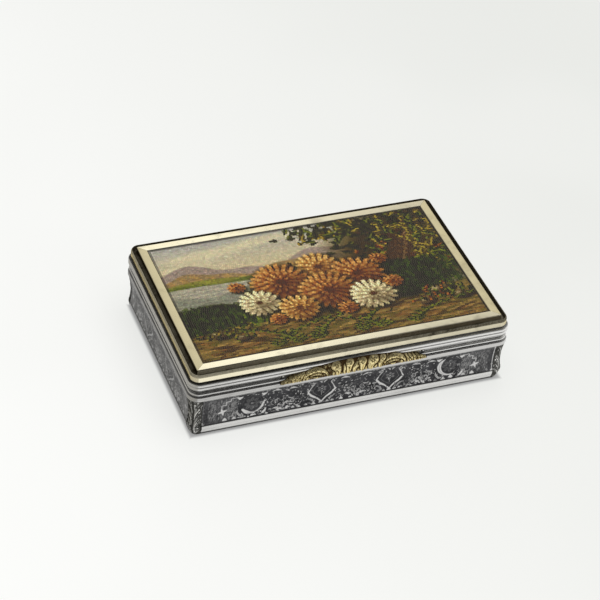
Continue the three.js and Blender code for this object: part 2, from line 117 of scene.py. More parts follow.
# %% Wire and Bench
class Wire:
    """An output socket that can stand in a sum."""

    def __init__(self, bench, socket):
        self.bench, self.socket = bench, socket

    def maths(self, operation, *values):
        return self.bench.add("ShaderNodeMath", dict(enumerate(values)), operation=operation)

    def __add__(self, other):
        return self.maths("ADD", self, other)

    def __mul__(self, other):
        return self.maths("MULTIPLY", self, other)

    def __sub__(self, other):
        return self.maths("SUBTRACT", self, other)

    def __rsub__(self, other):
        return self.maths("SUBTRACT", other, self)

    __radd__, __rmul__ = __add__, __mul__

    def size(self):
        """The same value without its sign."""
        return self.maths("ABSOLUTE", self)

    def held(self):
        """The same value, kept between 0 and 1."""
        return self.bench.add("ShaderNodeClamp", {0: self})

    def between(self, low, high, start=0.0, end=1.0):
        """Runs from start to end while this value runs from low to high."""
        values = {0: self, 1: low, 2: high, 3: start, 4: end}
        return self.bench.add("ShaderNodeMapRange", values, interpolation_type="SMOOTHSTEP")


class Bench:
    """The node tree of one material or world."""

    def __init__(self, owner):
        owner.use_nodes = True
        self.tree = owner.node_tree
        self.tree.nodes.clear()

    def add(self, kind, values=None, out=0, **settings):
        """Adds any node, sets or joins its inputs, and gives back one of its outputs."""
        node = self.tree.nodes.new(kind)
        for name, value in settings.items():
            setattr(node, name, value)
        for name, value in (values or {}).items():
            if isinstance(value, Wire):
                self.tree.links.new(value.socket, node.inputs[name])
            else:
                node.inputs[name].default_value = value
        return Wire(self, node.outputs[out]) if len(node.outputs) else node

    def mix(self, share, first, second):
        """A colour between two colours."""
        first, second = (c if isinstance(c, Wire) else (*c, 1) for c in (first, second))
        return self.add("ShaderNodeMix", {0: share, 6: first, 7: second}, 2, data_type="RGBA")

    def stretched(self, place, *factors):
        """The place, drawn out so that a pattern becomes streaks."""
        return self.add("ShaderNodeVectorMath", {0: place, 1: factors}, operation="MULTIPLY")

    def where(self):
        """The place on the piece, in millimetres."""
        return self.stretched(self.add("ShaderNodeTexCoord", out=3), *(PER_METRE,) * 3)

    def part(self, place, number=0):
        """One part of a place: 0 along, 1 across, 2 up."""
        return self.add("ShaderNodeSeparateXYZ", {0: place}, number)

    def noise(self, place, scale, detail=2.0, rough=0.5):
        values = {"Vector": place, "Scale": scale, "Detail": detail, "Roughness": rough}
        return self.add("ShaderNodeTexNoise", values)

    def attribute(self, name, out=2):
        return self.add("ShaderNodeAttribute", out=out, attribute_name=name)

    def bump(self, height, distance, under=None):
        """A Bump node over another, whose distance is given in millimetres."""
        values = {"Strength": 1.0, "Distance": distance / PER_METRE, "Height": height}
        if under is not None:
            values["Normal"] = under
        return self.add("ShaderNodeBump", values)

    def finish(self, values):
        """A Principled surface with these inputs, joined to the output."""
        shader = self.add("ShaderNodeBsdfPrincipled", values)
        self.add("ShaderNodeOutputMaterial", {"Surface": shader})


print("shader helpers ready")

# %% [markdown]
# ## Floor, studio and lamps
#
# The box stands on a plain pale surface in soft light. Polished metal shows only what is
# round it, so the studio needs form: a bright backdrop behind, which the flat gold reflects,
# a dim ceiling, and a dark room behind the camera. The floor that only the metal sees is
# painted grey to the left of the box as its shadow, painted dark right round the foot as
# contact shadow, and falls into the dark far in front. The camera sees a pale floor, painted
# lighter to the left, with a soft shadow round the foot that is partly real and partly painted.

# %% Floor
def plain_material(name):
    material = bpy.data.materials.new(name)
    return material, Bench(material)


PAPER, FAR_FRONT = (0.95, 0.95, 0.94), (0.24, 0.24, 0.23)
# Painted shadow: the grey to the left of the box, which only the metal sees, stands for the box's
# shadow there.
LEFT_SHADE_NEAR, LEFT_SHADE_FAR = (0.50, 0.50, 0.495), (0.56, 0.54, 0.49)
FOOT_HALF_LONG, FOOT_HALF_WIDE = 42.1, 26.8
FLOOR_RADIUS = 3.0


def floor_colours(bench):
    """What the lamps light, what the camera sees, and what the metal sees."""
    spot = bench.where()
    across, along = bench.part(spot), bench.part(spot, 1)
    # Painted light: the floor is painted lighter to the left and darker to the right, as light
    # falling off across it.
    pale = bench.mix(across.between(-140, 140), (0.995, 1.0, 0.98), (0.835, 0.845, 0.815))
    paper = bench.noise(spot, 0.01, 1.0).between(0.4, 0.6) * 0.25
    pale = bench.mix(paper, pale, (0.92, 0.925, 0.90))
    # Painted shadow to the left of the box, darker near it, seen only by the metal.
    grey = bench.mix(across.between(-46, -56), LEFT_SHADE_NEAR, LEFT_SHADE_FAR)
    front = bench.mix(along.between(-60, -108), PAPER, FAR_FRONT)
    floor_for_metal = bench.mix((across - along * 0.27).between(-34, -37), front, grey)
    beside, before = across.size() - FOOT_HALF_LONG, along.size() - FOOT_HALF_WIDE
    gap = beside.maths("MAXIMUM", beside, before)
    # Painted contact shadow: the floor that the metal sees is dark right round the foot.
    floor_for_metal = bench.mix(gap.between(-0.1, 0.4), (0.2,) * 3, floor_for_metal)
    # Painted contact shadow: the floor that the camera sees darkens close round the foot.
    pale_with_painted_shadow = bench.mix(gap.between(0.3, 1.5), (0.36,) * 3, pale)
    return pale, pale_with_painted_shadow, floor_for_metal


def floor_finish():
    material, bench = plain_material("pale_floor")
    pale, pale_with_painted_shadow, floor_for_metal = floor_colours(bench)
    lit = bench.add("ShaderNodeBsdfDiffuse", {"Color": pale})
    open_light = bench.add("ShaderNodeEmission", {"Color": pale_with_painted_shadow, "Strength": 1.0})
    seen = bench.add("ShaderNodeMixShader", {0: 0.74, 1: lit, 2: open_light})
    shaded = bench.add("ShaderNodeBsdfDiffuse", {"Color": floor_for_metal})
    glow = bench.add("ShaderNodeEmission", {"Color": floor_for_metal, "Strength": 1.0})
    mirrored = bench.add("ShaderNodeMixShader", {0: 0.6, 1: shaded, 2: glow})
    glossy_ray = bench.add("ShaderNodeLightPath", out=3)
    camera_ray = bench.add("ShaderNodeLightPath")
    surface = bench.add("ShaderNodeMixShader", {0: glossy_ray, 1: lit, 2: mirrored})
    surface = bench.add("ShaderNodeMixShader", {0: camera_ray, 1: surface, 2: seen})
    bench.add("ShaderNodeOutputMaterial", {"Surface": surface})
    return material


def make_floor():
    bm = bmesh.new()
    bmesh.ops.create_circle(bm, cap_ends=True, segments=64, radius=FLOOR_RADIUS)
    mesh = bpy.data.meshes.new("floor")
    bm.to_mesh(mesh)
    bm.free()
    mesh.materials.append(floor_finish())
    floor = bpy.data.objects.new("floor", mesh)
    bpy.context.scene.collection.objects.link(floor)
    floor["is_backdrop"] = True
    return floor


floor = make_floor()
print("floor across:", round(floor.dimensions.x, 2), "m")

# %% Studio sky
SIDES, CEILING = (0.45,) * 3, (0.3,) * 3
BACKDROP, ROOM, SEEN = (1.08, 1.08, 1.05), (0.06, 0.06, 0.065), (0.95, 0.95, 0.94)
BACKDROP_SIDE, BACKDROP_WAY, ROOM_WAY = (0.92, -0.39, 0), (0.39, 0.92, 0), (0.0, -0.72, 0.69)


def make_sky():
    world = bpy.data.worlds.new("studio")
    bpy.context.scene.world = world
    bench = Bench(world)
    direction = bench.add("ShaderNodeTexCoord", out=0)

    def towards(unit):
        values = {0: direction, 1: unit}
        return bench.add("ShaderNodeVectorMath", values, 1, operation="DOT_PRODUCT")

    height = towards((0, 0, 1))
    colour = bench.mix(height.between(0.45, 0.8), SIDES, CEILING)
    colour = bench.mix(towards(ROOM_WAY).between(0.55, 0.85), colour, ROOM)
    wide = towards(BACKDROP_SIDE).size().between(0.40, 0.06)
    tall = height.between(0.95, 0.68) * height.between(-0.3, 0.0)
    behind = towards(BACKDROP_WAY).between(0.1, 0.4)
    colour = bench.mix(wide * tall * behind, colour, BACKDROP)
    camera_ray = bench.add("ShaderNodeLightPath")
    colour = bench.mix(camera_ray, colour, SEEN)
    light = bench.add("ShaderNodeBackground", {"Color": colour, "Strength": 1.0})
    bench.add("ShaderNodeOutputWorld", {"Surface": light})
    return world


print("sky:", make_sky().name)

# %% Lamps
def make_lamp(name, towards, size, power):
    """A soft round lamp, a metre away, that polished metal doesn't mirror."""
    lamp = bpy.data.lights.new(name, "AREA")
    lamp.shape, lamp.size, lamp.energy = "DISK", size, power
    holder = bpy.data.objects.new(name, lamp)
    bpy.context.scene.collection.objects.link(holder)
    holder.location = Vector(towards).normalized()
    holder.rotation_mode = "QUATERNION"
    holder.rotation_quaternion = holder.location.to_track_quat("Z", "Y")
    holder.visible_glossy = False


make_lamp("overhead_lamp", (0.1, -0.1, 1.0), 1.2, 8.0)
make_lamp("front_lamp", (0.3, -0.8, 0.6), 0.6, 1.5)

# %% [markdown]
# ## Metals
#
# All the metals share one recipe. A polished metal is a base colour at full metallic, and
# what makes it real is what hands and rubbing cloths leave on it: fine scratches that run
# along the piece, duller smudges, and a dark patina that stays in the recesses. The same dark
# is also laid on in bands of height and towards the ends of a piece as painted shade. A colour
# attribute named "dark" can bring patina and painted shade out of the modelling itself.

# %% Recipe for a metal
FADE = 0.07


def metal(name, colour, patina, rough, along=(1, 1, 1), patina_and_shade_bands=(), attribute=None, wear=1.0,
          drift=(0.0, 0.0), edge=(1.0, 1.0, 1.0), matt=0.2):
    """The list of bands gives (from height, to height, strength) in mm where patina and painted
    shade lie, drift is how much painted shade lies at the left and the right end (below zero
    that end is painted lighter), edge tints the grazing reflection, and matt is how much
    rougher and less metallic the patina is than the metal."""
    material, bench = plain_material(name)
    spot = bench.where()
    streaks = bench.noise(bench.stretched(spot, *along), 16.0, 2.0, 0.6)
    cloud, speck = bench.noise(spot, 0.22, 3.0, 0.6), bench.noise(spot, 2.6, 2.0, 0.6)
    dark = (cloud.between(0.5, 0.85) * 0.22 + speck.between(0.62, 0.8) * 0.08) * wear
    # Painted shade: darker at one end of the piece and lighter at the other, by drift.
    dark = dark + bench.part(spot).between(-40, 40, *drift)
    height = bench.part(spot, 2)
    # Patina and painted shade, laid in bands of height.
    for low, high, strength in patina_and_shade_bands:
        inside = height.between(low - FADE, low + FADE) * height.between(high + FADE, high - FADE)
        dark = dark + inside * (strength * 0.65) + inside * speck * (strength * 0.7)
    if attribute:
        dark = dark + bench.attribute(attribute)
    dark = dark.held()
    shade = bench.mix(dark, colour, patina)
    shade = bench.mix(streaks.between(0.4, 0.75) * 0.1, shade, [0.75 * c for c in colour])
    smudge, rubbed = cloud.between(0.35, 0.75) * 0.06, streaks.between(0.4, 0.7) * 0.05
    dent = bench.bump(bench.noise(spot, 0.3, 1.0), 0.012 * wear)
    bench.finish({
        "Base Color": shade, "Metallic": 1.0 - dark * matt, "Specular Tint": (*edge, 1),
        "Roughness": rough + smudge + dark * matt + rubbed,
        "Normal": bench.bump(streaks, 0.0006 * wear, dent),
    })
    return material


RUN_ROUND = (0.012, 0.012, 1)
SILVER = (0.76, 0.755, 0.735)
SILVER_DARK = (0.03, 0.029, 0.027)
GOLD = (0.96, 0.89, 0.665)
# A darker copy of the gold, painted shade for the frame strips at the sides.
GOLD_PAINTED_SHADE = (0.62, 0.55, 0.355)
GOLD_DARK = (0.04, 0.027, 0.01)
GOLD_EDGE = (0.95, 0.82, 0.5)

print("silver", SILVER, "and gold", GOLD, "as base colours")

# %% [markdown]
# ## Putting a finished piece in place
#
# Each piece is modelled round the middle of the box in millimetres. Placing it turns it into
# metres, joins doubled corners, turns faces outwards, smooths it up to a sharp angle, gives it
# its material, lets it ride on the base or the lid, and hides the imported pieces it stands for.

# %% Placing
def place_piece(bm, name, body, material, nodes, angle=32.0, tidy=True):
    """Turns a finished bmesh into a piece of the box, and gives it back."""
    if tidy:
        bmesh.ops.remove_doubles(bm, verts=bm.verts, dist=1e-4)
        bmesh.ops.recalc_face_normals(bm, faces=bm.faces)
    bmesh.ops.scale(bm, vec=(1 / PER_METRE,) * 3, verts=bm.verts)
    mesh = bpy.data.meshes.new(name)
    bm.to_mesh(mesh)
    bm.free()
    mesh.materials.append(material)
    mesh.shade_smooth()
    mesh.set_sharp_from_angle(angle=math.radians(angle))
    piece = bpy.data.objects.new(name, mesh)
    bpy.context.scene.collection.objects.link(piece)
    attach(piece, body)
    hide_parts(*nodes)
    mesh.calc_loop_triangles()
    print(name, "has", len(mesh.loop_triangles), "triangles")
    return piece


def give_shades(piece, name, values):
    """Stores a grey value for every point of a piece."""
    layer = piece.data.color_attributes.new(name, "FLOAT_COLOR", "POINT")
    colours = np.repeat(np.clip(values, 0, 1)[:, None], 4, axis=1).astype(np.float32)
    colours[:, 3] = 1
    layer.data.foreach_set("color", colours.ravel())


def points_of(piece):
    """All points of a piece, in millimetres."""
    flat = np.empty(3 * len(piece.data.vertices), np.float32)
    piece.data.vertices.foreach_get("co", flat)
    return flat.reshape(-1, 3) * PER_METRE


def low_high(node):
    """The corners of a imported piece, in millimetres."""
    low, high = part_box(node)
    return low * PER_METRE, high * PER_METRE


rim_low, rim_high = low_high("lid_rim")
LENGTH = rim_high.x - rim_low.x
WIDTH = rim_high.y - rim_low.y
CORNER = 2.4
print("rim:", round(LENGTH, 2), "by", round(WIDTH, 2))

# %% [markdown]
# ## Mouldings that run round the box
#
# A silversmith draws strip through a shaped hole and bends it round the box. The same is done
# here: a section of (outset, height) points is carried along a side, spun round the corner,
# and so on until it meets itself. Spin gives a true round corner, where a bevel would flatten
# the reeds. A straight strip is only drawn out, and a round piece is spun about its own axis.

# %% Carrying a section round the box
def arc(outset, height, radius, start, end, steps=8):
    """Points of an arc as (outset, height), with angles in degrees."""
    angles = [math.radians(start + (end - start) * i / steps) for i in range(steps + 1)]
    return [(outset + radius * math.cos(a), height + radius * math.sin(a)) for a in angles]


def corners_of(grown):
    return [part for part in grown if isinstance(part, bmesh.types.BMVert)]


def edges_of(grown):
    return [part for part in grown if isinstance(part, bmesh.types.BMEdge)]


def run_of(turn):
    """How far the box runs along one of its sides, and across it."""
    return (LENGTH, WIDTH) if turn % 2 == 0 else (WIDTH, LENGTH)


def quarter_turn(bm, turns):
    """Turns a piece that was made at the front to another side."""
    bmesh.ops.rotate(bm, verts=bm.verts, matrix=Matrix.Rotation(turns * math.pi / 2, 3, "Z"))


def drawn_bar(section, half_long, across):
    """A straight bar at the front of a box that measures this much across."""
    bm = bmesh.new()
    points = [bm.verts.new((-half_long, -across / 2 - out, z)) for out, z in section]
    grown = bmesh.ops.extrude_face_region(bm, geom=[bm.faces.new(points)])["geom"]
    bmesh.ops.translate(bm, verts=corners_of(grown), vec=(2 * half_long, 0, 0))
    return bm


def carry_round(section, steps=20):
    """A strip that runs round the whole box."""
    bm = bmesh.new()
    reach = Vector((LENGTH / 2 - CORNER, WIDTH / 2 - CORNER, 0))
    points = [bm.verts.new((-reach.x, -reach.y - CORNER - out, z)) for out, z in section]
    loop = [bm.edges.new((points[i - 1], points[i])) for i in range(len(points))]
    for turn in range(4):
        run = Matrix.Rotation(turn * math.pi / 2, 3, "Z") @ Vector((1, 0, 0))
        run *= 2 * (reach.y if turn % 2 else reach.x)
        grown = bmesh.ops.extrude_edge_only(bm, edges=loop)["geom"]
        bmesh.ops.translate(bm, verts=corners_of(grown), vec=run)
        centre = [(1, -1), (1, 1), (-1, 1), (-1, -1)][turn]
        spun = bmesh.ops.spin(
            bm, geom=corners_of(grown) + edges_of(grown), angle=math.pi / 2, steps=steps,
            cent=(centre[0] * reach.x, centre[1] * reach.y, 0), axis=(0, 0, 1),
        )["geom_last"]
        loop = edges_of(spun)
    return bm


def turned(section, centre, axis, steps=48):
    """Spins a closed section of (along, radius) points round an axis."""
    bm = bmesh.new()
    across = Vector((0, 0, 1)) if abs(axis.z) < 0.5 else Vector((1, 0, 0))
    points = [bm.verts.new(centre + axis * a + across * r) for a, r in section]
    edges = [bm.edges.new((points[i], points[i + 1])) for i in range(len(points) - 1)]
    if all(radius > 0 for _, radius in section):
        edges.append(bm.edges.new((points[-1], points[0])))
    bmesh.ops.spin(
        bm, geom=points + edges, angle=2 * math.pi, steps=steps, use_merge=True,
        cent=centre, axis=axis,
    )
    return bm


print("section carrier ready")

# %% [markdown]
# ## Cutting one piece with another
#
# The hinge is sunk in the back of the ledge and of the band, and the thumbpiece sits in a
# shallow seat. A file would cut these, and here a Boolean modifier does. The result is baked
# into the mesh at once and the cutter is thrown away, so nothing is left live.

# %% Boolean cuts
def cut_away(bm, cutters):
    """Takes closed cutter meshes out of a closed mesh and gives the result back."""
    holders = []
    for number, part in enumerate([bm, *cutters]):
        bmesh.ops.remove_doubles(part, verts=part.verts, dist=1e-4)
        bmesh.ops.recalc_face_normals(part, faces=part.faces)
        mesh = bpy.data.meshes.new(f"bench_{number}")
        part.to_mesh(mesh)
        part.free()
        holders.append(bpy.data.objects.new(mesh.name, mesh))
        bpy.context.scene.collection.objects.link(holders[-1])
    for cutter in holders[1:]:
        step = holders[0].modifiers.new("cut", "BOOLEAN")
        step.operation, step.solver, step.object = "DIFFERENCE", "EXACT", cutter
    graph = bpy.context.evaluated_depsgraph_get()
    result = bmesh.new()
    result.from_object(holders[0], graph)
    for holder in holders:
        mesh = holder.data
        bpy.data.objects.remove(holder)
        bpy.data.meshes.remove(mesh)
    return result


base_low, base_high = low_high("base_knuckle_1")
KNUCKLES, END_GAP, SNUG_GAP, RUNNING_GAP = 7, 0.08, 0.03, 0.12
ALONG = Vector((1, 0, 0))
HINGE = Vector((0, (base_low.y + base_high.y) / 2, (base_low.z + base_high.z) / 2))
KNUCKLE = (base_high.y - base_low.y) / 2
hinge_end = low_high("base_knuckle_4")[1].x + END_GAP
PITCH = 2 * hinge_end / KNUCKLES
print("hinge axis y, z:", round(HINGE.y, 2), round(HINGE.z, 2), "pitch", round(PITCH, 2))


def hinge_groove(snug_first):
    """The groove for the whole hinge. Snug where a piece's own knuckles sit, wider elsewhere."""
    section = [(-hinge_end, 0.0)]
    for i in range(KNUCKLES):
        snug = (i % 2 == 0) == snug_first
        radius = KNUCKLE + (SNUG_GAP if snug else RUNNING_GAP)
        section += [(-hinge_end + i * PITCH, radius), (-hinge_end + (i + 1) * PITCH, radius)]
    section.append((hinge_end, 0.0))
    return turned(section, HINGE, ALONG)


# %% [markdown]
# ## Ledge
#
# The ledge is the plain silver strip between the niello walls and the seam of the lid. Its
# edge is softened by wear, and its top slopes a little in towards the seam.

# %% Ledge
ledge_low, ledge_high = low_high("ledge_moulding")
LEDGE_OUT = ledge_high.x - LENGTH / 2
WALL_BACK = -1.25


def ledge_section():
    low, high = ledge_low.z, ledge_high.z
    return [
        (WALL_BACK, low),
        *arc(LEDGE_OUT - 0.12, low + 0.12, 0.12, -90, 0, 4),
        *arc(LEDGE_OUT - 0.12, high - 0.17, 0.12, 0, 75, 5),
        (LEDGE_OUT - 0.5, high),
        (WALL_BACK, high),
    ]


# Painted shade darkens the top of the ledge by the seam; a thin darker line lies across its face,
# and drift paints it darker at its left end and lighter at its right.
ledge_metal = metal(
    "ledge_silver", (0.60, 0.595, 0.58), SILVER_DARK, 0.17, RUN_ROUND,
    patina_and_shade_bands=[(ledge_high.z - 0.08, ledge_high.z + 0.6, 0.5), (12.62, 12.72, 0.3)],
    drift=(0.12, -0.32),
)
ledge = cut_away(carry_round(ledge_section()), [hinge_groove(True)])
place_piece(ledge, "ledge", "base", ledge_metal, ["ledge_moulding"])

# %% [markdown]
# ## Band of the lid
#
# The band carries a bead low down, a hollow, and two reeds up to the dark undercut below the
# gold rim. Patina and painted shade darken the hollow, the line between the reeds and the
# undercut. The seat of the thumbpiece is cut in its front, with a narrow gap round the arch
# that reads as a dark line.

# %% Band
THUMB_HALF, THUMB_TALL, THUMB_TIP, THUMB_LOW = 20.0, 4.3, 0.45, 13.0
band_low, band_high = low_high("lid_band")
FACE, REED_OUT, REED = -0.05, 0.62, 0.95
REED_LOW = band_high.z - 0.4 - 2 * REED


def arch(x):
    """Height of the thumbpiece at a place along it."""
    share = np.minimum(np.abs(x) / THUMB_HALF, 1.0)
    return THUMB_TIP + (THUMB_TALL - THUMB_TIP) * (1 - share ** 2.5)


def band_section():
    low, high = band_low.z, band_high.z
    bead = low + 0.64
    section = [(-1.18, low), (0.28, low), (0.34, low + 0.06)]
    section += arc(-0.07, bead, 0.52, -24, 40, 12)
    section += [(FACE, bead + 0.4), (FACE, REED_LOW)]
    half_turn = 28
    radius = REED / 2 / math.sin(math.radians(half_turn))
    for reed in range(2):
        middle = REED_LOW + (reed + 0.5) * REED
        section += arc(REED_OUT - radius, middle, radius, -half_turn, half_turn, 14)
    return section + [(FACE, high - 0.3), (FACE, high), (-1.18, high)]


def thumb_seat(margin=0.15, steps=72):
    """A block whose top follows the arch, wider than the thumbpiece all round."""
    bm = bmesh.new()
    bmesh.ops.create_grid(bm, x_segments=steps, y_segments=1, size=1)
    half = THUMB_HALF + margin
    for vert in bm.verts:
        x = vert.co.x * half
        top = THUMB_LOW + arch(x) + margin
        height = top if vert.co.y > 0 else THUMB_LOW - margin
        vert.co = (x, -WIDTH / 2 + 0.35, height)
    grown = bmesh.ops.extrude_face_region(bm, geom=bm.faces[:])["geom"]
    bmesh.ops.translate(bm, verts=corners_of(grown), vec=(0, -3, 0))
    return bm


# Patina and painted shade: the bands darken the hollow, the line between the reeds and the
# undercut under the rim, and drift paints the band darker at its left end and lighter at its
# right.
band_metal = metal(
    "band_silver", SILVER, SILVER_DARK, 0.15, RUN_ROUND,
    patina_and_shade_bands=[(14.55, 15.4, 0.75), (16.56, 16.64, 0.4), (17.52, 18.3, 0.9)],
    drift=(0.13, -0.27),
)
band = cut_away(carry_round(band_section()), [hinge_groove(False), thumb_seat()])
place_piece(band, "band", "lid", band_metal, ["lid_band"])

# %% [markdown]
# ## Gold rim
#
# The rim stands up round the picture like a low wall. Its outer face is flat and bright
# below and rolls inwards towards its upper edge. Inside the edge it falls to the floor of
# the channel round the frame, where dirt lies, darkened further by painted shade that is
# deepest at the left. Painted shade also darkens the foot of the rim and its upper part.

# %% Rim
def rim_section():
    low, high = rim_low.z, rim_high.z
    floor_at = high - 0.75
    edge = (-0.25, high + 0.17)
    return [
        (-2.3, low), (-0.06, low), (0.0, low + 0.06),
        *arc(-1.4, high - 0.63, 1.4, 0, 34, 12),
        edge, (-0.4, high + 0.12), (-0.7, high - 0.42), (-0.9, floor_at), (-2.3, floor_at),
    ]


# Painted shade: the bands darken the foot of the rim and its upper part, and drift paints the
# right end darker; the attribute "dark" holds the channel's dirt and painted shade.
rim_metal = metal(
    "rim_gold", GOLD, (0.014, 0.009, 0.003), 0.15, RUN_ROUND,
    patina_and_shade_bands=[(17.9, 17.98, 0.6), (19.3, 20.3, 0.6)], attribute="dark", drift=(-0.06, 0.26),
    edge=GOLD_EDGE, matt=0.6,
)
rim = place_piece(carry_round(rim_section()), "rim", "lid", rim_metal, ["lid_rim"])


def channel_dirt_and_shade(piece):
    """Dirt and painted shade in the channel: darkest at the left, lighter at the right end and
    along the front and the back.
    """
    x, y, z = points_of(piece).T
    beyond_x = np.clip(np.abs(x) - LENGTH / 2 + CORNER, 0, None)
    beyond_y = np.clip(np.abs(y) - WIDTH / 2 + CORNER, 0, None)
    outset = np.hypot(beyond_x, beyond_y) - CORNER
    front = np.clip(0.5 - 0.2 * x / LENGTH, 0.3, 0.7)
    amount = np.where(x < -LENGTH / 2 + 2.6, 1.0, np.where(x > LENGTH / 2 - 2.6, 0.6, front))
    start = np.where(y < -WIDTH / 2 + CORNER, 0.45, 0.25)
    deep = np.clip((-start - outset) / 0.15, 0, 1)
    give_shades(piece, "dark", deep * amount)


channel_dirt_and_shade(rim)

# %% [markdown]
# ## Picture frame
#
# Four gold strips hold the picture down, each with a slightly crowned top, and meet in
# mitres at the corners. A strip is drawn as one long bar and its ends are sawn at 45 degrees,
# which is what bisect_plane does here, so the mitre lines are real joints.

# %% Frame strips
FRAME_OUT, FRAME_IN, FRAME_TOP, FRAME_LOW = -1.70, -3.92, 20.58, 19.16
REBATE, REBATE_TOP, CROWN, MITRE_GAP = -3.42, FRAME_TOP - 0.35, 0.025, 0.03


def strip_section():
    """Points of (outset, height) of one strip, anticlockwise."""
    middle, half = (FRAME_OUT + FRAME_IN) / 2, (FRAME_OUT - FRAME_IN) / 2
    shares = [1 - i / 4 for i in range(9)]
    return [
        (REBATE, FRAME_LOW), (FRAME_OUT, FRAME_LOW), (FRAME_OUT, FRAME_TOP - CROWN - 0.12),
        *((middle + s * (half - 0.1), FRAME_TOP - CROWN * s * s) for s in shares),
        (FRAME_IN, FRAME_TOP - CROWN - 0.08), (FRAME_IN, REBATE_TOP), (REBATE, REBATE_TOP),
    ]


def frame_strip(turn):
    """A bar along the front, sawn to its mitres and turned to its side."""
    along, across = run_of(turn)
    bm = drawn_bar(strip_section(), along / 2, across)
    for side in (-1, 1):
        cut = bmesh.ops.bisect_plane(
            bm, geom=bm.verts[:] + bm.edges[:] + bm.faces[:], clear_outer=True,
            plane_co=(side * (along / 2 - MITRE_GAP), -across / 2, 0), plane_no=(side, 1, 0),
        )["geom_cut"]
        bmesh.ops.contextual_create(bm, geom=edges_of(cut))
    quarter_turn(bm, turn)
    return bm


# Painted shade: the bands darken the walls of the strips, along the channel and along the picture,
# and drift paints the right end darker.
frame_metal_x = metal(
    "frame_gold_along_x", GOLD, (0.17, 0.14, 0.085), 0.13, (0.01, 1.4, 1),
    patina_and_shade_bands=[(19.0, 20.3, 0.75)], matt=0.8, drift=(-0.04, 0.3), edge=GOLD_EDGE,
)
# Painted shade: the strips at the sides are a darker copy of the gold, and the bands darken their
# walls.
frame_metal_y = metal(
    "frame_gold_painted_shade_along_y", GOLD_PAINTED_SHADE, GOLD_DARK, 0.22, (1.4, 0.01, 1),
    patina_and_shade_bands=[(19.0, 20.42, 1.0)], edge=GOLD_EDGE,
)
FOUR_SIDES = ("front", "right", "back", "left")
for turn, side in enumerate(FOUR_SIDES):
    finish = frame_metal_y if turn % 2 else frame_metal_x
    place_piece(frame_strip(turn), "strip_" + side, "lid", finish, ["frame_" + side])

# %% [markdown]
# ## An engraver's tools
#
# The walls, the corners and the thumbpiece carry ornament that no simple shape makes. An
# engraver works it stroke by stroke, so here an Engraving is a sheet that strokes are cut
# into: dabs, tapering lines, scrolls and leaves. A fine grid of the piece then takes its
# height and its colour from the sheet. The strokes are formulas, so the same ornament can
# be laid out again on a piece of another length.

# %% Engraving
class Engraving:
    """A sheet of values over a part of a surface, in millimetres."""

    def __init__(self, left, right, low, high, pitch=0.06, value=0.0):
        self.left, self.low, self.pitch = left, low, pitch
        self.columns = round((right - left) / pitch) + 1
        self.rows = round((high - low) / pitch) + 1
        self.sheet = np.full((self.rows, self.columns), float(value))

    def window(self, x, y, reach):
        """The part of the sheet near a point, and the distances to it."""
        first_x = max(int((x - reach - self.left) / self.pitch), 0)
        last_x = min(int((x + reach - self.left) / self.pitch) + 2, self.columns)
        first_y = max(int((y - reach - self.low) / self.pitch), 0)
        last_y = min(int((y + reach - self.low) / self.pitch) + 2, self.rows)
        if first_x >= last_x or first_y >= last_y:
            return None, None, None
        across = self.left + self.pitch * np.arange(first_x, last_x) - x
        upward = self.low + self.pitch * np.arange(first_y, last_y) - y
        return self.sheet[first_y:last_y, first_x:last_x], across[None, :], upward[:, None]

    def dab(self, x, y, radius, value, soft=0.07):
        """Paints a round spot."""
        patch, across, upward = self.window(x, y, radius + soft)
        if patch is not None:
            cover = np.clip((radius - np.hypot(across, upward)) / soft + 0.5, 0, 1)
            patch += (value - patch) * cover

    def dome(self, x, y, radius, value, floor=0.0):
        """Raises a round-topped spot, where it stands higher than what is there."""
        patch, across, upward = self.window(x, y, radius)
        if patch is not None:
            far = np.clip(1 - (across ** 2 + upward ** 2) / radius ** 2, 0, 1)
            np.maximum(patch, floor + value * np.sqrt(far), out=patch, where=far > 0)

    def stroke(self, points, widths, value, tool="dab"):
        """Draws a tapering line through points. Widths are half-widths along it."""
        points = np.array(points, float)
        steps = np.hypot(*np.diff(points, axis=0).T)
        total = np.concatenate([[0], np.cumsum(steps)])
        count = max(int(total[-1] / max(0.45 * min(max(widths), 0.5), 0.04)), 2)
        at = np.linspace(0, total[-1], count)
        xs, ys = np.interp(at, total, points[:, 0]), np.interp(at, total, points[:, 1])
        rs = np.interp(at / total[-1], np.linspace(0, 1, len(widths)), widths)
        for x, y, r in zip(xs, ys, rs):
            if r > 0.01:
                getattr(self, tool)(x, y, r, value)

    def read(self, x, y):
        """Values of the sheet at many places at once."""
        across = np.clip((x - self.left) / self.pitch, 0, self.columns - 1.001)
        upward = np.clip((y - self.low) / self.pitch, 0, self.rows - 1.001)
        i, j = across.astype(int), upward.astype(int)
        s, t = across - i, upward - j
        near = self.sheet[j, i] * (1 - s) + self.sheet[j, i + 1] * s
        far = self.sheet[j + 1, i] * (1 - s) + self.sheet[j + 1, i + 1] * s
        return near * (1 - t) + far * t


def bow(start, end, bulge, count=14):
    """A curved line between two points. Bulge is how far it stands out to the left."""
    (x0, y0), (x1, y1) = start, end
    long = math.hypot(x1 - x0, y1 - y0) or 1.0
    side = (-(y1 - y0) / long, (x1 - x0) / long)
    line = []
    for i in range(count + 1):
        t = i / count
        out = 4 * bulge * t * (1 - t)
        line.append((x0 + (x1 - x0) * t + side[0] * out, y0 + (y1 - y0) * t + side[1] * out))
    return line


def scroll(x, y, start_radius, end_radius, start, turn, count=40):
    """A line that winds in round a point. Angles are in degrees."""
    line = []
    for i in range(count + 1):
        t = i / count
        radius = start_radius + (end_radius - start_radius) * t ** 0.8
        angle = math.radians(start + turn * t)
        line.append((x + radius * math.cos(angle), y + radius * math.sin(angle)))
    return line


print("engraver's tools ready")

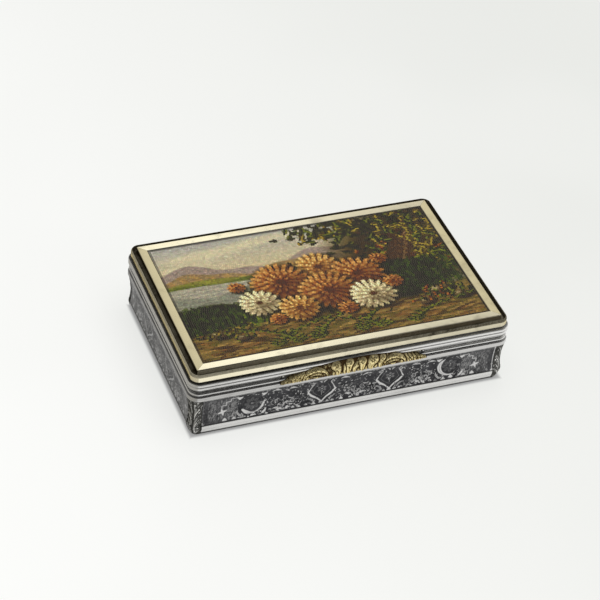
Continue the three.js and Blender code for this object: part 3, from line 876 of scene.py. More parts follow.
# %% [markdown]
# ## Motifs of the frieze
#
# Niello is a black sulphide melted into cut silver and rubbed flush, so the pattern is bright
# silver standing in a dark ground. The frieze uses stock ornament of its time: shields with a
# rosette, roundels held in a crescent, paired lobes over leafy sprays, and a hatched field
# with a star at each end. Every motif is drawn round its own middle, and its value is how
# much silver shows, from 0 to 1.

# %% Small motifs
BRIGHT, PALE, INK = 1.0, 0.72, 0.1
FULL_FIELD = 3.9
UPPER_STEPS = (
    (0.0, 10.9), (1.9, 10.9), (1.9, 9.9), (3.1, 9.9), (3.1, 8.7), (4.2, 8.7), (4.2, 7.5),
)
LOWER_STEPS = ((0.3, 5.6), (1.2, 5.6), (1.2, 4.8), (2.2, 4.8), (2.2, 4.0))


def leaf(sheet, root, tip, bulge, width, value, vein=True):
    """A curved leaf, with a dark vein or plain."""
    line = bow(root, tip, bulge)
    sheet.stroke(line, (0.04, width, width * 0.85, 0.03), value)
    if vein:
        sheet.stroke(line[3:-3], (0.03, 0.045, 0.03), INK)


def rosette(sheet, x, y, radius, petals, value, heart):
    """Petals with dark middle lines round a heart in a dark ring."""
    for i in range(petals):
        angle = 2 * math.pi * i / petals + math.pi / 2
        near = (x + 0.32 * radius * math.cos(angle), y + 0.32 * radius * math.sin(angle))
        far = (x + radius * math.cos(angle), y + radius * math.sin(angle))
        sheet.stroke([near, far], (0.06, radius * 0.24, radius * 0.2, 0.05), value)
        sheet.stroke([near, far], (0.03, 0.05, 0.03), INK)
    sheet.dab(x, y, radius * 0.24, INK)
    sheet.dab(x, y, radius * 0.15, heart)


def triangle(sheet, x, y, size, value, point=1):
    """A small triangle, pointing up, or down where point is -1."""
    for i in range(6):
        t = i / 5
        half = size * (1 - t)
        row = y + point * t * size * 1.3
        sheet.stroke([(x - half, row), (x + half, row)], (0.09, 0.09), value)


def ring_dot(sheet, x, y, radius, value):
    """A dot inside a dark ring inside a bright one."""
    sheet.dab(x, y, radius, value)
    sheet.dab(x, y, radius * 0.62, 0.03)
    sheet.dab(x, y, radius * 0.25, value)


def roundel(sheet, x, side):
    """A dark disc with a faint rosette, held in a bright crescent."""
    sheet.dab(x, 7.75, 3.05, 0.0)
    rosette(sheet, x, 7.75, 2.3, 8, 0.2, 0.3)
    sheet.stroke(scroll(x, 7.75, 2.6, 2.6, 0, 360), (0.05, 0.05), 0.22)
    if side > 0:
        line, widths = scroll(x, 7.9, 3.05, 3.1, 125, 165), (0.1, 0.45, 0.55, 0.5, 0.3, 0.2, 0.1)
    else:
        line, widths = scroll(x, 7.9, 3.05, 3.2, 215, 145), (0.3, 0.5, 0.22, 0.16, 0.26, 0.36, 0.1)
    sheet.stroke(line, widths, 0.92)
    sheet.stroke(line[6:-10], (0.03, 0.06, 0.03), 0.3)
    triangle(sheet, x - 3.4, 10.7, 0.72, BRIGHT, -1)
    triangle(sheet, x + 3.0, 10.7, 0.66, BRIGHT, -1)
    ring_dot(sheet, x + 2.5, 7.4, 0.42, 0.6)
    leaf(sheet, (x - 2.6, 4.1), (x - 4.0, 6.4), 0.4, 0.26, PALE)
    leaf(sheet, (x + 2.4, 4.0), (x + 3.8, 5.6), -0.3, 0.3, BRIGHT, False)
    triangle(sheet, x + 0.4, 3.95, 0.6, BRIGHT)


def shield(sheet, x):
    """A pointed shield, outlined bright, round a small dark rosette."""
    sheet.dab(x, 8.2, 3.1, 0.0)
    sheet.dab(x, 6.3, 2.2, 0.0)
    for side in (-1, 1):
        line = [
            (x + side * 2.7, 11.3), (x + side * 2.2, 10.3), (x + side * 2.9, 9.2),
            (x + side * 3.7, 7.5), (x + side * 2.7, 6.3), (x + side * 1.2, 5.3), (x, 4.1),
        ]
        sheet.stroke(line, (0.06, 0.09, 0.12, 0.24, 0.29, 0.2, 0.17), 0.9)
        inner = [(x + side * 1.7, 10.9), (x + side * 1.3, 10.0), (x + side * 2.0, 8.8),
                 (x + side * 2.5, 7.6), (x + side * 1.6, 6.6), (x, 5.5)]
        sheet.stroke(inner, (0.05, 0.08, 0.05), 0.3)
        ring_dot(sheet, x + side * 2.7, 10.4, 0.55, PALE)
        leaf(sheet, (x + side * 0.3, 10.4), (x + side * 1.1, 11.3), side * 0.25, 0.24, 0.6, False)
        leaf(sheet, (x + side * 2.1, 4.2), (x + side * 3.9, 5.6), side * 0.35, 0.24, 0.6)
    rosette(sheet, x, 8.2, 1.35, 6, 0.36, 0.6)
    sheet.stroke([(x, 7.2), (x, 6.0)], (0.05, 0.14, 0.05), 0.4)


def lobe(sheet, x, y, radius, lean, tone=PALE):
    """A dark lobe with a bright brow, a thin outline and a small inner flower."""
    sheet.dab(x, y, radius + 0.25, 0.0)
    for bump in range(5):
        angle = math.radians(bump * 72 + lean * 20)
        near = (x + radius * 0.8 * math.cos(angle), y + radius * 0.72 * math.sin(angle))
        sheet.stroke(scroll(*near, 0.5, 0.5, bump * 72 - 80, 160, 10), (0.05, 0.07, 0.05), 0.3)
    brow = scroll(x, y + 0.1, radius, radius * 0.85, 90 - lean * 55, lean * 95)
    sheet.stroke(brow, (0.06, 0.2, 0.36, 0.2, 0.05), tone)
    tail = scroll(x, y, radius + 0.1, radius, 90 + lean * 165, lean * 70)
    sheet.stroke(tail, (0.05, 0.17, 0.05), tone * 0.8)
    sheet.dab(x - lean * radius * 0.3, y + radius * 0.35, 0.24, 0.55)
    sheet.dab(x + lean * radius * 0.3, y - radius * 0.2, 0.15, 0.35)


def spray(sheet, x, wide, seed):
    """The small flowers, leaves and dots below a pair of lobes."""
    chance = np.random.default_rng(seed)
    for side in (-1, 1):
        sway, lift = chance.uniform(-0.7, 0.5), chance.uniform(-0.5, 0.6)
        tone = chance.uniform(0.45, 0.75)
        leaf(sheet, (x, 4.0), (x + side * (wide * 0.5 + sway), 6.0 + lift), side * 0.5, 0.26, tone)
        low_tip = (x + side * (wide * 0.85 + sway * 0.5), 4.9 + lift * 0.5)
        leaf(sheet, (x + side * 0.4, 3.9), low_tip, side * 0.35, 0.3, BRIGHT)
        ring_dot(sheet, x + side * (wide * 0.62 - sway * 0.4), 6.5 - lift * 0.8, 0.6, tone * 0.8)
        curl = scroll(x + side * wide * 0.3, 5.5 + lift * 0.4, 0.8, 0.2, -90, side * 320, 24)
        sheet.stroke(curl, (0.07, 0.13, 0.08), tone)
    leaf(sheet, (x, 5.4), (x + chance.uniform(-0.5, 0.5), 7.9), 0.2, 0.22, 0.5)
    for _ in range(14):
        spot = (x + chance.uniform(-wide, wide), chance.uniform(4.2, 7.4))
        sheet.dab(*spot, chance.uniform(0.09, 0.18), chance.uniform(0.4, 0.9))


def end_field(sheet, x, side, half=FULL_FIELD):
    """A grey field of upright cuts with a stepped line, a star and a plain dark edge."""
    chance = np.random.default_rng(int(10 * half) + side)

    def outwards(a):
        """A place that is drawn in step with the width of the field."""
        return x - side * half + side * a * half / FULL_FIELD

    for i in range(int(half * 2 / 0.1)):
        column = x - half + i * 0.1
        sheet.stroke([(column, 3.75), (column, 11.5)], (0.08, 0.08), 0.16)
    for _ in range(int(150 * half)):
        column, row = x + chance.uniform(-half, half), chance.uniform(3.9, 10.8)
        value = chance.uniform(0.03, 0.5)
        top = (column + 0.1, row + chance.uniform(0.3, 1.0))
        sheet.stroke([(column, row), top], (0.03, 0.075, 0.03), value)
    sheet.stroke([(outwards(a), b) for a, b in UPPER_STEPS], (0.08, 0.11, 0.09), 0.75)
    sheet.stroke([(outwards(a), b) for a, b in LOWER_STEPS], (0.07, 0.1, 0.07), 0.6)
    star_x, star_y, size = outwards(4.0), 6.6, 1.35 * min(1.0, half / 3.0)
    for i, stretch in enumerate((1.0, 0.8, 1.0, 0.9)):
        angle, reach = math.radians(90 * i + 15), size * stretch
        point = (star_x + reach * math.cos(angle), star_y + reach * math.sin(angle))
        sheet.stroke([(star_x, star_y), point], (0.36, 0.26, 0.04), 0.9)
    inner = x - side * half
    if half > 3:
        for a, b in ((0.9, 8.9), (2.2, 7.0), (1.0, 7.2)):
            rosette(sheet, inner + side * a, b, 0.8, 5, 0.5, 0.7)
        for column in (38.8, 39.15):
            sheet.stroke([(side * column, 3.6), (side * column, 11.6)], (0.24, 0.24), 0.12)
        triangle(sheet, inner + side * 3.4, 3.9, 0.55, BRIGHT)
    triangle(sheet, inner + side * 0.9, 3.9, 0.5, PALE)


def graver_cut(sheet, chance, start, turn, lengths, widths, values, odds):
    """One short curved cut, whose direction, length and tone chance picks."""
    angle, long = chance.uniform(0, turn), chance.uniform(*lengths)
    tip = (start[0] + long * math.cos(angle), start[1] + long * math.sin(angle))
    value = chance.choice(values, p=odds)
    sheet.stroke(bow(start, tip, chance.uniform(-0.2, 0.2), 6), widths, value)


def worked_ground(sheet, half, seed, count):
    """Short curved cuts that a graver leaves all over the dark ground."""
    chance = np.random.default_rng(seed)
    for _ in range(count):
        start = (chance.uniform(-half, half), chance.uniform(3.8, 11.6))
        tones, odds = (0.1, 0.25, 0.42, 0.66), (0.4, 0.32, 0.18, 0.1)
        widths = (0.03, 0.085, 0.03)
        graver_cut(sheet, chance, start, 2 * math.pi, (0.35, 0.95), widths, tones, odds)


def borders(sheet, half):
    """Uneven small triangles along the lower edge, and ticks along the upper."""
    chance = np.random.default_rng(9)
    column = -half
    while column < half:
        size = chance.uniform(0.15, 0.55)
        triangle(sheet, column, chance.uniform(3.6, 4.0), size, chance.uniform(0.25, 1.0))
        if chance.random() < 0.5:
            leaf(sheet, (column, 11.35), (column + 0.8, 11.5), 0.12, 0.12, 0.5, False)
        column += size + chance.uniform(0.3, 2.1)
    sheet.stroke([(-half, 3.48), (half, 3.48)], (0.07, 0.07), 0.1)
    sheet.stroke([(-half, 11.85), (half, 11.85)], (0.09, 0.09), 0.5)


def graver_nicks(sheet, half, seed, count):
    """Nicks, dark and bright, that the graver leaves across the finished motifs."""
    chance = np.random.default_rng(seed)
    for _ in range(count):
        start = (chance.uniform(-half, half), 3.9 + 7.4 * chance.uniform(0, 1) ** 1.5)
        tones, odds = (0.0, 0.08, 0.45, 0.85), (0.38, 0.22, 0.23, 0.17)
        widths = (0.04, 0.12, 0.04)
        graver_cut(sheet, chance, start, math.pi, (0.25, 0.8), widths, tones, odds)


print("motifs ready")

# %% [markdown]
# ## Walls of niello
#
# Each wall is a hollow sheet of silver between two corner posts. A fine grid stands for its
# face, its outer edge is drawn back to give it thickness, and each point is then moved onto
# the hollow line of the wall. Where niello shows, the surface lies a hair lower, because it
# wears faster than silver. The share of silver at each point is kept as an attribute, and
# the material mixes bright silver and black niello by it.

# %% A fine sheet with thickness
WALL_LOW, WALL_TOP = 3.38, 12.0
FOOT_TALL = 3.35
POST_WIDTH = 2.93


def fine_sheet(columns, rows, whole_back=False):
    """A closed slab. Its face spans 0 to 1 each way at depth 0, and its back has depth 1."""
    bm = bmesh.new()
    bmesh.ops.create_grid(bm, x_segments=columns, y_segments=rows, size=0.5)
    bmesh.ops.translate(bm, verts=bm.verts, vec=(0.5, 0.5, 0))
    if whole_back:
        grown = bmesh.ops.extrude_face_region(bm, geom=bm.faces[:])["geom"]
        bmesh.ops.translate(bm, verts=corners_of(grown), vec=(0, 0, 1))
        return bm
    border = [edge for edge in bm.edges if edge.is_boundary]
    grown = bmesh.ops.extrude_edge_only(bm, edges=border)["geom"]
    bmesh.ops.translate(bm, verts=corners_of(grown), vec=(0, 0, 1))
    bmesh.ops.contextual_create(bm, geom=edges_of(grown))
    return bm


def laid(bm, shape):
    """Moves every point of a sheet to shape(u, v, depth), worked out for all at once."""
    flat = np.array([vert.co for vert in bm.verts])
    for vert, spot in zip(bm.verts, np.stack(shape(*flat.T), axis=1)):
        vert.co = spot


def foot_line(z):
    """How far the foot stands out at a height."""
    return -0.9 + 1.2 * np.sin(np.clip(z / FOOT_TALL, 0, 1) * math.pi / 2)


def wall_line(z):
    """How far the hollow wall stands out at a height."""
    share = np.clip((z - WALL_LOW) / (WALL_TOP - WALL_LOW), 0, 1)
    return 0.2 + 0.35 * share - 4 * 0.53 * share * (1 - share)


# %% Drawing the friezes
LONG_LOBES = (
    (-20.7, 9.3, 1), (-15.9, 9.0, -1), (-2.2, 9.3, 1), (4.4, 9.2, -1), (17.4, 9.2, 1),
    (22.2, 9.0, -1),
)


def long_frieze():
    """The front and back: end fields, roundels, shields and lobes over sprays."""
    half = LENGTH / 2 - POST_WIDTH
    sheet = Engraving(-half, half, 3.0, 12.3, value=0.02)
    worked_ground(sheet, half, 3, 1500)
    borders(sheet, half)
    for side in (-1, 1):
        end_field(sheet, side * 34.6, side)
        line = [(side * 39.8, 3.6), (side * 39.8, 11.8)]
        sheet.stroke(line, (0.12, 0.12), 0.7 if side > 0 else 0.25)
    for number, x in enumerate((-18.3, 1.1, 19.8)):
        spray(sheet, x, 3.4, number)
    for x, y, lean in LONG_LOBES:
        lobe(sheet, x, y, 1.9, lean)
    graver_nicks(sheet, 31.0, 21, 700)
    for x in (-8.0, 10.7):
        shield(sheet, x)
    roundel(sheet, -26.8, -1)
    roundel(sheet, 27.6, 1)
    graver_nicks(sheet, 30.0, 23, 170)
    return sheet


def short_frieze():
    """The two ends: shields, lobes and sprays between narrow end fields, and paler."""
    half = WIDTH / 2 - POST_WIDTH
    sheet = Engraving(-half, half, 3.0, 12.3, value=0.1)
    worked_ground(sheet, half, 5, 1500)
    borders(sheet, half)
    for side in (-1, 1):
        end_field(sheet, side * 22.9, side, 1.8)
        lobe(sheet, side * 18.6, 9.2, 1.8, -side)
        lobe(sheet, side * 14.6, 9.0, 1.7, side)
        spray(sheet, side * 16.5, 2.9, 5 + side)
        lobe(sheet, side * 3.4, 9.2, 1.9, -side)
        shield(sheet, side * 9.2)
    spray(sheet, 0.0, 3.4, 8)
    graver_nicks(sheet, 20.0, 22, 560)
    sheet.sheet[:] = 0.27 + 0.73 * sheet.sheet
    return sheet


friezes = {"long": long_frieze(), "short": short_frieze()}
for name, sheet in friezes.items():
    print(name, "frieze:", round(float(sheet.sheet.mean()), 3), "of it is silver")

# %% Niello
def niello_metal():
    """Silver and niello mixed by the attribute "silver"."""
    material, bench = plain_material("niello_on_silver")
    spot = bench.where()
    share = bench.attribute("silver")
    cloud = bench.noise(spot, 0.4, 3.0, 0.6)
    fine = bench.noise(spot, 14.0, 2.0, 0.6)
    cuts = bench.noise(spot, 3.4, 2.0, 0.7)
    rough_share = share + (fine - 0.5) * 0.2 + (cuts - 0.5) * 0.34 + (cloud - 0.5) * 0.1
    worn = rough_share.between(0.0, 0.96)
    black = bench.mix(cloud.between(0.3, 0.7), (0.022, 0.022, 0.024), (0.06, 0.06, 0.064))
    bright = bench.mix(fine.between(0.35, 0.75), (0.74, 0.735, 0.72), (0.5, 0.495, 0.49))
    shade = bench.mix(worn, black, bright)
    dull = 0.42 - worn * 0.12 + cloud.between(0.4, 0.8) * 0.1
    bench.finish({
        "Base Color": shade, "Metallic": 0.9, "Roughness": dull,
        "Normal": bench.bump(fine, 0.006),
    })
    return material


niello = niello_metal()
print("niello ready:", niello.name)

# %% The four walls
WALL_DEPTH, NIELLO_LOW = 1.25, 0.02


def make_wall(side, turn, columns, rows=72):
    """A hollow wall whose face follows its frieze."""
    along, across = run_of(turn)
    along -= 2 * POST_WIDTH
    sheet = friezes["short" if turn % 2 else "long"]

    def shape(u, v, depth):
        x = (u - 0.5) * along
        z = WALL_LOW + v * (WALL_TOP - WALL_LOW)
        out = wall_line(z) - NIELLO_LOW * (1 - sheet.read(x, z))
        y = np.where(depth > 0.5, -across / 2 + WALL_DEPTH, -across / 2 - out)
        return x, y, z

    bm = fine_sheet(columns, rows)
    laid(bm, shape)
    quarter_turn(bm, turn)
    bmesh.ops.recalc_face_normals(bm, faces=bm.faces)
    node = "wall_" + side
    piece = place_piece(bm, "niello_" + side, "base", niello, [node], tidy=False)
    spots = points_of(piece)
    along_it = [spots[:, 0], spots[:, 1], -spots[:, 0], -spots[:, 1]][turn]
    give_shades(piece, "silver", sheet.read(along_it, spots[:, 2]))


for turn, side in enumerate(FOUR_SIDES):
    make_wall(side, turn, 420 if turn % 2 else 680)

# %% [markdown]
# ## Foot mouldings
#
# Between the corner posts a bright convex moulding carries the box. It is a short length of
# drawn strip on each side, so one section is drawn out straight. Its lowest edge is painted
# dark as contact shadow where it meets the table; it is also darker at its top, below the
# wall, and along a thin line across its middle.

# %% Feet
# Painted contact shadow at the lowest edge; the top below the wall and a thin line across the
# middle are darker too.
foot_metal = metal(
    "foot_silver", SILVER, SILVER_DARK, 0.2, (0.1, 0.1, 1),
    patina_and_shade_bands=[(-0.2, 0.95, 1.0), (2.05, 2.2, 0.3), (3.25, 3.6, 0.6)],
)


def make_foot(side, turn):
    """A bar between two corner posts."""
    along, across = run_of(turn)
    heights = [FOOT_TALL * i / 16 for i in range(17)]
    section = [(-WALL_DEPTH, 0.0), *((float(foot_line(z)), z) for z in heights)]
    section.append((-WALL_DEPTH, FOOT_TALL))
    bm = drawn_bar(section, along / 2 - POST_WIDTH, across)
    quarter_turn(bm, turn)
    place_piece(bm, "base_strip_" + side, "base", foot_metal, ["foot_" + side])


for turn, side in enumerate(FOUR_SIDES):
    make_foot(side, turn)

# %% [markdown]
# ## Leaf-cut corner posts
#
# The rounded corners are posts of silver that stand a little proud of the walls, cut from the
# floor to the ledge with slanting leaf strokes that rise to both sides of a dark middle. The
# sheet of the post is wrapped round the corner: first a straight, then the arc, then another
# straight, and the cuts sink into it.

# %% Corner posts
ARC_LENGTH = CORNER * math.pi / 2
POST_STRAIGHT = 2.9 - CORNER
POST_AROUND = ARC_LENGTH + 2 * POST_STRAIGHT
POST_PROUD, POST_CUT = 0.1, 0.09


def post_leaves():
    """Heights from 0, cut deepest, to 1, untouched, round a post and up it."""
    sheet = Engraving(0, POST_AROUND, 0, WALL_TOP, pitch=0.05, value=0.02)
    middle = POST_AROUND / 2
    chance = np.random.default_rng(4)
    for row in range(13):
        for side in (-1, 1):
            start = -3.4 + row * 1.2 + (0.5 if side > 0 else 0.0) + chance.uniform(-0.15, 0.15)
            root = (middle + side * 0.34, start)
            tip = (middle + side * chance.uniform(1.6, 2.0), start + chance.uniform(3.4, 4.4))
            tone = chance.choice((0.22, 0.5, 0.8, 1.0))
            sheet.stroke(bow(root, tip, side * 0.4), (0.03, 0.12, 0.14, 0.1, 0.03), tone)
            near = bow((root[0], start + 0.65), (tip[0] - side * 0.4, tip[1] + 0.3), side * 0.3)
            sheet.stroke(near, (0.03, 0.06, 0.03), tone * 0.5)
    for _ in range(120):
        x, z = chance.uniform(0.1, POST_AROUND - 0.1), chance.uniform(0, WALL_TOP)
        value = chance.choice((0.0, 0.0, 0.4, 0.8))
        sheet.stroke([(x, z), (x + 0.12, z + 0.6)], (0.03, 0.09, 0.03), value)
    for _ in range(30):
        x, z = chance.uniform(0.3, POST_AROUND - 0.3), chance.uniform(0, WALL_TOP) ** 1.2 / 1.6
        value = chance.choice((0.0, 0.1, 1.0))
        sheet.stroke([(x, z), (x + 0.1, z + 0.5)], (0.05, 0.2, 0.05), value)
    sheet.stroke([(middle, 0), (middle, WALL_TOP)], (0.26, 0.26), 0.0)
    return sheet


post_sheet = post_leaves()
post_metal = metal(
    "post_silver", (0.84, 0.83, 0.80), (0.03, 0.03, 0.026), 0.22, (1, 1, 0.3), attribute="dark",
    edge=(0.3, 0.3, 0.29),
)
print("corner posts:", round(POST_AROUND, 2), "mm round the corner")


def make_post(name, turn, columns=76, rows=180):
    """A post made at the back right corner and turned to its own."""
    half_x, half_y = (run / 2 for run in run_of(turn))
    cx, cy = half_x - CORNER, half_y - CORNER

    def shape(u, v, depth):
        along, z = u * POST_AROUND, v * WALL_TOP
        angle = np.clip((along - POST_STRAIGHT) / CORNER, 0, math.pi / 2)
        on_foot = z < (FOOT_TALL + WALL_LOW) / 2
        line = np.where(on_foot, foot_line(z), wall_line(z)) + POST_PROUD
        cut = POST_CUT * (1 - post_sheet.read(along, z))
        radius = CORNER + np.where(depth > 0.5, -WALL_DEPTH, line - cut)
        before = np.clip(POST_STRAIGHT - along, 0, None)
        after = np.clip(along - POST_STRAIGHT - ARC_LENGTH, 0, None)
        return cx + radius * np.cos(angle) - after, cy + radius * np.sin(angle) - before, z

    bm = fine_sheet(columns, rows, whole_back=True)
    laid(bm, shape)
    quarter_turn(bm, turn)
    bmesh.ops.recalc_face_normals(bm, faces=bm.faces)
    node = "pilaster_" + name
    piece = place_piece(bm, "post_" + name, "base", post_metal, [node], tidy=False)
    back = Matrix.Rotation(-turn * math.pi / 2, 3, "Z")
    x, y, z = (points_of(piece) @ np.array(back).T).T
    angle = np.arctan2(np.clip(y - cy, 0, None), np.clip(x - cx, 1e-4, None))
    along = POST_STRAIGHT + angle * CORNER
    along += np.clip(cx - x, 0, None) - np.clip(cy - y, 0, None)
    cover = post_sheet.read(np.clip(along, 0, POST_AROUND), z)
    give_shades(piece, "dark", np.clip(1.1 - 1.15 * cover, 0, 0.97))


for turn, name in enumerate(("back_right", "back_left", "front_left", "front_right")):
    make_post(name, turn)

# %% [markdown]
# ## Thumbpiece
#
# The thumbpiece is a small cast and chased spray of gold. In its middle acanthus lobes rise
# to the arch, at each side a large scroll curls over a dark eye, and small leaves run out to
# the tips. The sheet for it holds heights, so each stroke is a rounded ridge. The deepest
# places are darkened dark brown as dirt and painted shade, and places under a rising form as
# painted shade only.

# %% Chasing the thumbpiece
THUMB_LOBES = (
    (-5.6, 0.9, 0.2, 1.4), (7.0, 1.1, 0.4, 0.1), (-4.6, 1.45, -0.6, 0.0), (-0.1, 0.95, 0.9, 1.0),
    (-2.7, 0.9, 0.3, 0.8), (4.4, 1.6, 0.6, 0.0), (-1.7, 1.2, 0.2, 0.0), (2.0, 1.2, 0.0, 0.3),
)
THUMB_BUDS = (
    (-5.2, 0.5), (-3.6, 0.6), (-0.9, 0.5), (1.1, 0.5), (3.2, 0.65), (5.6, 0.6), (7.6, 0.4),
)
TIP_GROUND = (13.4, 15, 16.5, 18, 19.4)


def thumb_ridges():
    """Heights in millimetres above the body of the thumbpiece."""
    sheet = Engraving(-THUMB_HALF, THUMB_HALF, 0, THUMB_TALL + 0.2, pitch=0.05)
    chance = np.random.default_rng(11)
    for _ in range(240):
        x, share = chance.uniform(-19, 19), chance.uniform(0, 0.95)
        y, size = share * arch(x), chance.uniform(0.16, 0.34)
        carved(sheet, [(x, y), (x + 0.2, y + 0.3)], (size, size * 0.7), 0.42, 0.08)
    for side in (-1, 1):
        tip_leaves(sheet, side)
        big_scroll(sheet, side)
    for x, radius in THUMB_BUDS:
        carved(sheet, [(x, 0.2), (x, 1.5 * radius)], (radius * 0.8, radius), 0.5)
    for number, (x, wide, lean, short) in enumerate(THUMB_LOBES):
        fan_leaf(sheet, x, wide, lean, short, 1 if number % 2 else -1)
    chance = np.random.default_rng(6)
    for _ in range(650):
        x = chance.uniform(-19.5, 19.5)
        y = chance.uniform(0.1, max(arch(x) - 0.15, 0.2))
        if sheet.read(np.array([x]), np.array([y]))[0] > 0.3:
            sheet.dab(x, y, chance.uniform(0.05, 0.14), chance.choice((0.15, 0.3, 0.72)), 0.05)
    return sheet


def carved(sheet, line, widths, height, outline=0.17):
    """A rounded form with a dark outline, so that it stands off what lies behind it."""
    sheet.stroke(line, [w + outline for w in widths], 0.0)
    sheet.stroke(line, widths, height, "dome")


def fan_leaf(sheet, x, wide, lean, short, hand):
    """An acanthus lobe that rises almost to the arch and ends in a curled head."""
    top = x + lean
    tall = arch(top) - wide * 0.8 - short
    line = bow((x, 0.2), (top, tall), lean * 0.5)
    carved(sheet, line, (wide * 0.45, wide * 0.6, wide * 0.7, wide), 0.66)
    curl = scroll(top, tall, wide * 0.66, wide * 0.1, 90 - hand * 80, hand * 330, 24)
    sheet.stroke(curl, (0.03, 0.1, 0.07), 0.3)
    sheet.stroke(bow((x, 0.3), (top, tall - wide * 0.7), lean * 0.5), (0.03, 0.09, 0.03), 0.25)


def big_scroll(sheet, side):
    """A large scroll that arches up to the edge, with lobes on its back, over a dark eye."""
    x, y = side * 10.6, 0.45
    arcs = (
        (3.2, 2.35, 0, 180, (0.2, 0.5, 0.75, 0.9, 0.6, 0.2), 0.68),
        (1.9, 1.25, 10, 150, (0.1, 0.3, 0.5, 0.35, 0.1), 0.6),
    )
    for wide, tall, start, end, widths, height in arcs:
        line = []
        for i in range(37):
            angle = math.radians(start + (end - start) * i / 36)
            line.append((x - side * wide * math.cos(angle), y + tall * math.sin(angle)))
        carved(sheet, line, widths, height, 0.2)
        for i in range(3, 35, 5):
            out = (line[i][0] - x) * 0.13, (line[i][1] - y) * 0.13
            cut = [(line[i][0], line[i][1]), (line[i][0] + out[0], line[i][1] + out[1])]
            sheet.stroke(cut, (0.04, 0.09, 0.04), 0.2)
    carved(sheet, [(x - side * 0.3, y), (x + side * 0.4, y + 0.15)], (0.45, 0.3), 0.6)


def tip_leaves(sheet, side):
    """Small leaves on stippled gold, one behind the other, that run out to the tip."""
    middle = [(side * x, arch(x) / 2) for x in TIP_GROUND]
    sheet.stroke(middle, [arch(x) * 0.52 for x in TIP_GROUND], 0.46)
    for number in range(6):
        foot = side * (19.0 - number * 1.05)
        tip = foot - side * 1.0
        size = 0.36 + 0.035 * number
        line = bow((foot, 0.12), (tip, max(arch(tip) - size * 0.6, 0.25)), side * -0.25)
        carved(sheet, line, (size * 0.5, size, size * 0.9), 0.6, 0.06)
    for number in range(4):
        foot = side * (18.0 - number * 1.3)
        line = bow((foot, 0.15), (foot - side * 0.5, arch(foot) * 0.5), side * -0.1)
        carved(sheet, line, (0.2, 0.34, 0.2), 0.66, 0.08)


thumb_sheet = thumb_ridges()
print("thumbpiece relief:", round(float(thumb_sheet.sheet.max()), 2), "mm at most")

# %% The thumbpiece itself
thumb_metal = metal(
    "chased_gold", (0.95, 0.81, 0.43), (0.05, 0.022, 0.005), 0.22, attribute="dark", wear=1.4,
    edge=GOLD_EDGE,
)
THUMB_BACK, LEDGE_CLEAR = -0.32, 0.82
SEAM, ABOVE_SEAM, CHASED = 13.53, 13.9, 0.78


def make_thumbpiece(columns=560, rows=64):
    """A swelling body, chased in front, that stands clear of the ledge below the seam."""

    def shape(u, v, depth):
        x = (u - 0.5) * 2 * THUMB_HALF
        tall = arch(x)
        z = THUMB_LOW + v * tall
        swell_out = np.sin((0.12 + 0.88 * np.clip(v, 0, 1)) * math.pi) ** 0.6
        body = 0.66 + 0.5 * (tall / THUMB_TALL) ** 0.5 * swell_out
        fade = np.clip(np.minimum(v, 1 - v) * tall / 0.12, 0, 1)
        front = body + CHASED * thumb_sheet.read(x, v * tall) * (0.45 + 0.55 * fade) - 0.14
        least = np.interp(z, (SEAM, ABOVE_SEAM), (LEDGE_CLEAR + 0.08, 0.4))
        front = np.maximum(front, least)
        back = np.where(z < SEAM, LEDGE_CLEAR, THUMB_BACK)
        return x, -WIDTH / 2 - np.where(depth > 0.5, back, front), z

    bm = fine_sheet(columns, rows, whole_back=True)
    laid(bm, shape)
    bmesh.ops.recalc_face_normals(bm, faces=bm.faces)
    piece = place_piece(
        bm, "thumb_scrolls", "lid", thumb_metal, ["thumbpiece"], angle=60, tidy=False,
    )
    spots = points_of(piece)
    high = thumb_sheet.read(spots[:, 0], spots[:, 2] - THUMB_LOW)
    # Painted shade: a point just under a rising form is darkened more.
    under = thumb_sheet.read(spots[:, 0], spots[:, 2] - THUMB_LOW + 0.12) - high
    give_shades(piece, "dark", np.clip(1.2 - 2.2 * high + 1.6 * np.clip(under, 0, 0.3), 0, 1))


make_thumbpiece()

# %% [markdown]
# ## Rivets, knuckles and pin
#
# These are round, so each is a section spun about its own axis. The rivets have domed heads
# in the hollow of the band. The knuckles of the hinge are tubes with softened ends, three on
# the lid between four on the base, and one pin runs through them all.

# %% Rivets
RIVET_STEM, RIVET_HEAD, RIVET_LONG, DOMED = 0.28, 0.56, 0.9, 0.6


def make_rivet(side):
    """A stem with a domed head, dark round its edge."""
    low, high = low_high("rivet_" + side)
    middle = Vector(((low.x + high.x) / 2, high.y, (low.z + high.z) / 2))
    dome = [(-a, max(r, 0.0)) for r, a in arc(0, RIVET_LONG, RIVET_HEAD, 0, 90, 10)]
    section = [(0, 0), (0, RIVET_STEM), (-RIVET_LONG, RIVET_STEM)]
    section += [(-RIVET_LONG + (a + RIVET_LONG) * DOMED, r) for a, r in dome]
    section[-1] = (section[-1][0], 0.0)
    rivet = turned(section, middle, Vector((0, 1, 0)), 32)
    name, node = "round_rivet_" + side, "rivet_" + side
    piece = place_piece(rivet, name, "lid", rivet_metal, [node])
    x, _, z = points_of(piece).T
    far = np.hypot(x - middle.x, z - middle.z)
    give_shades(piece, "dark", np.clip(0.3 + (far - 0.2) / 0.12, 0.3, 1))


rivet_metal = metal("rivet_silver", SILVER, SILVER_DARK, 0.2, attribute="dark")
for side in ("left", "right"):
    make_rivet(side)

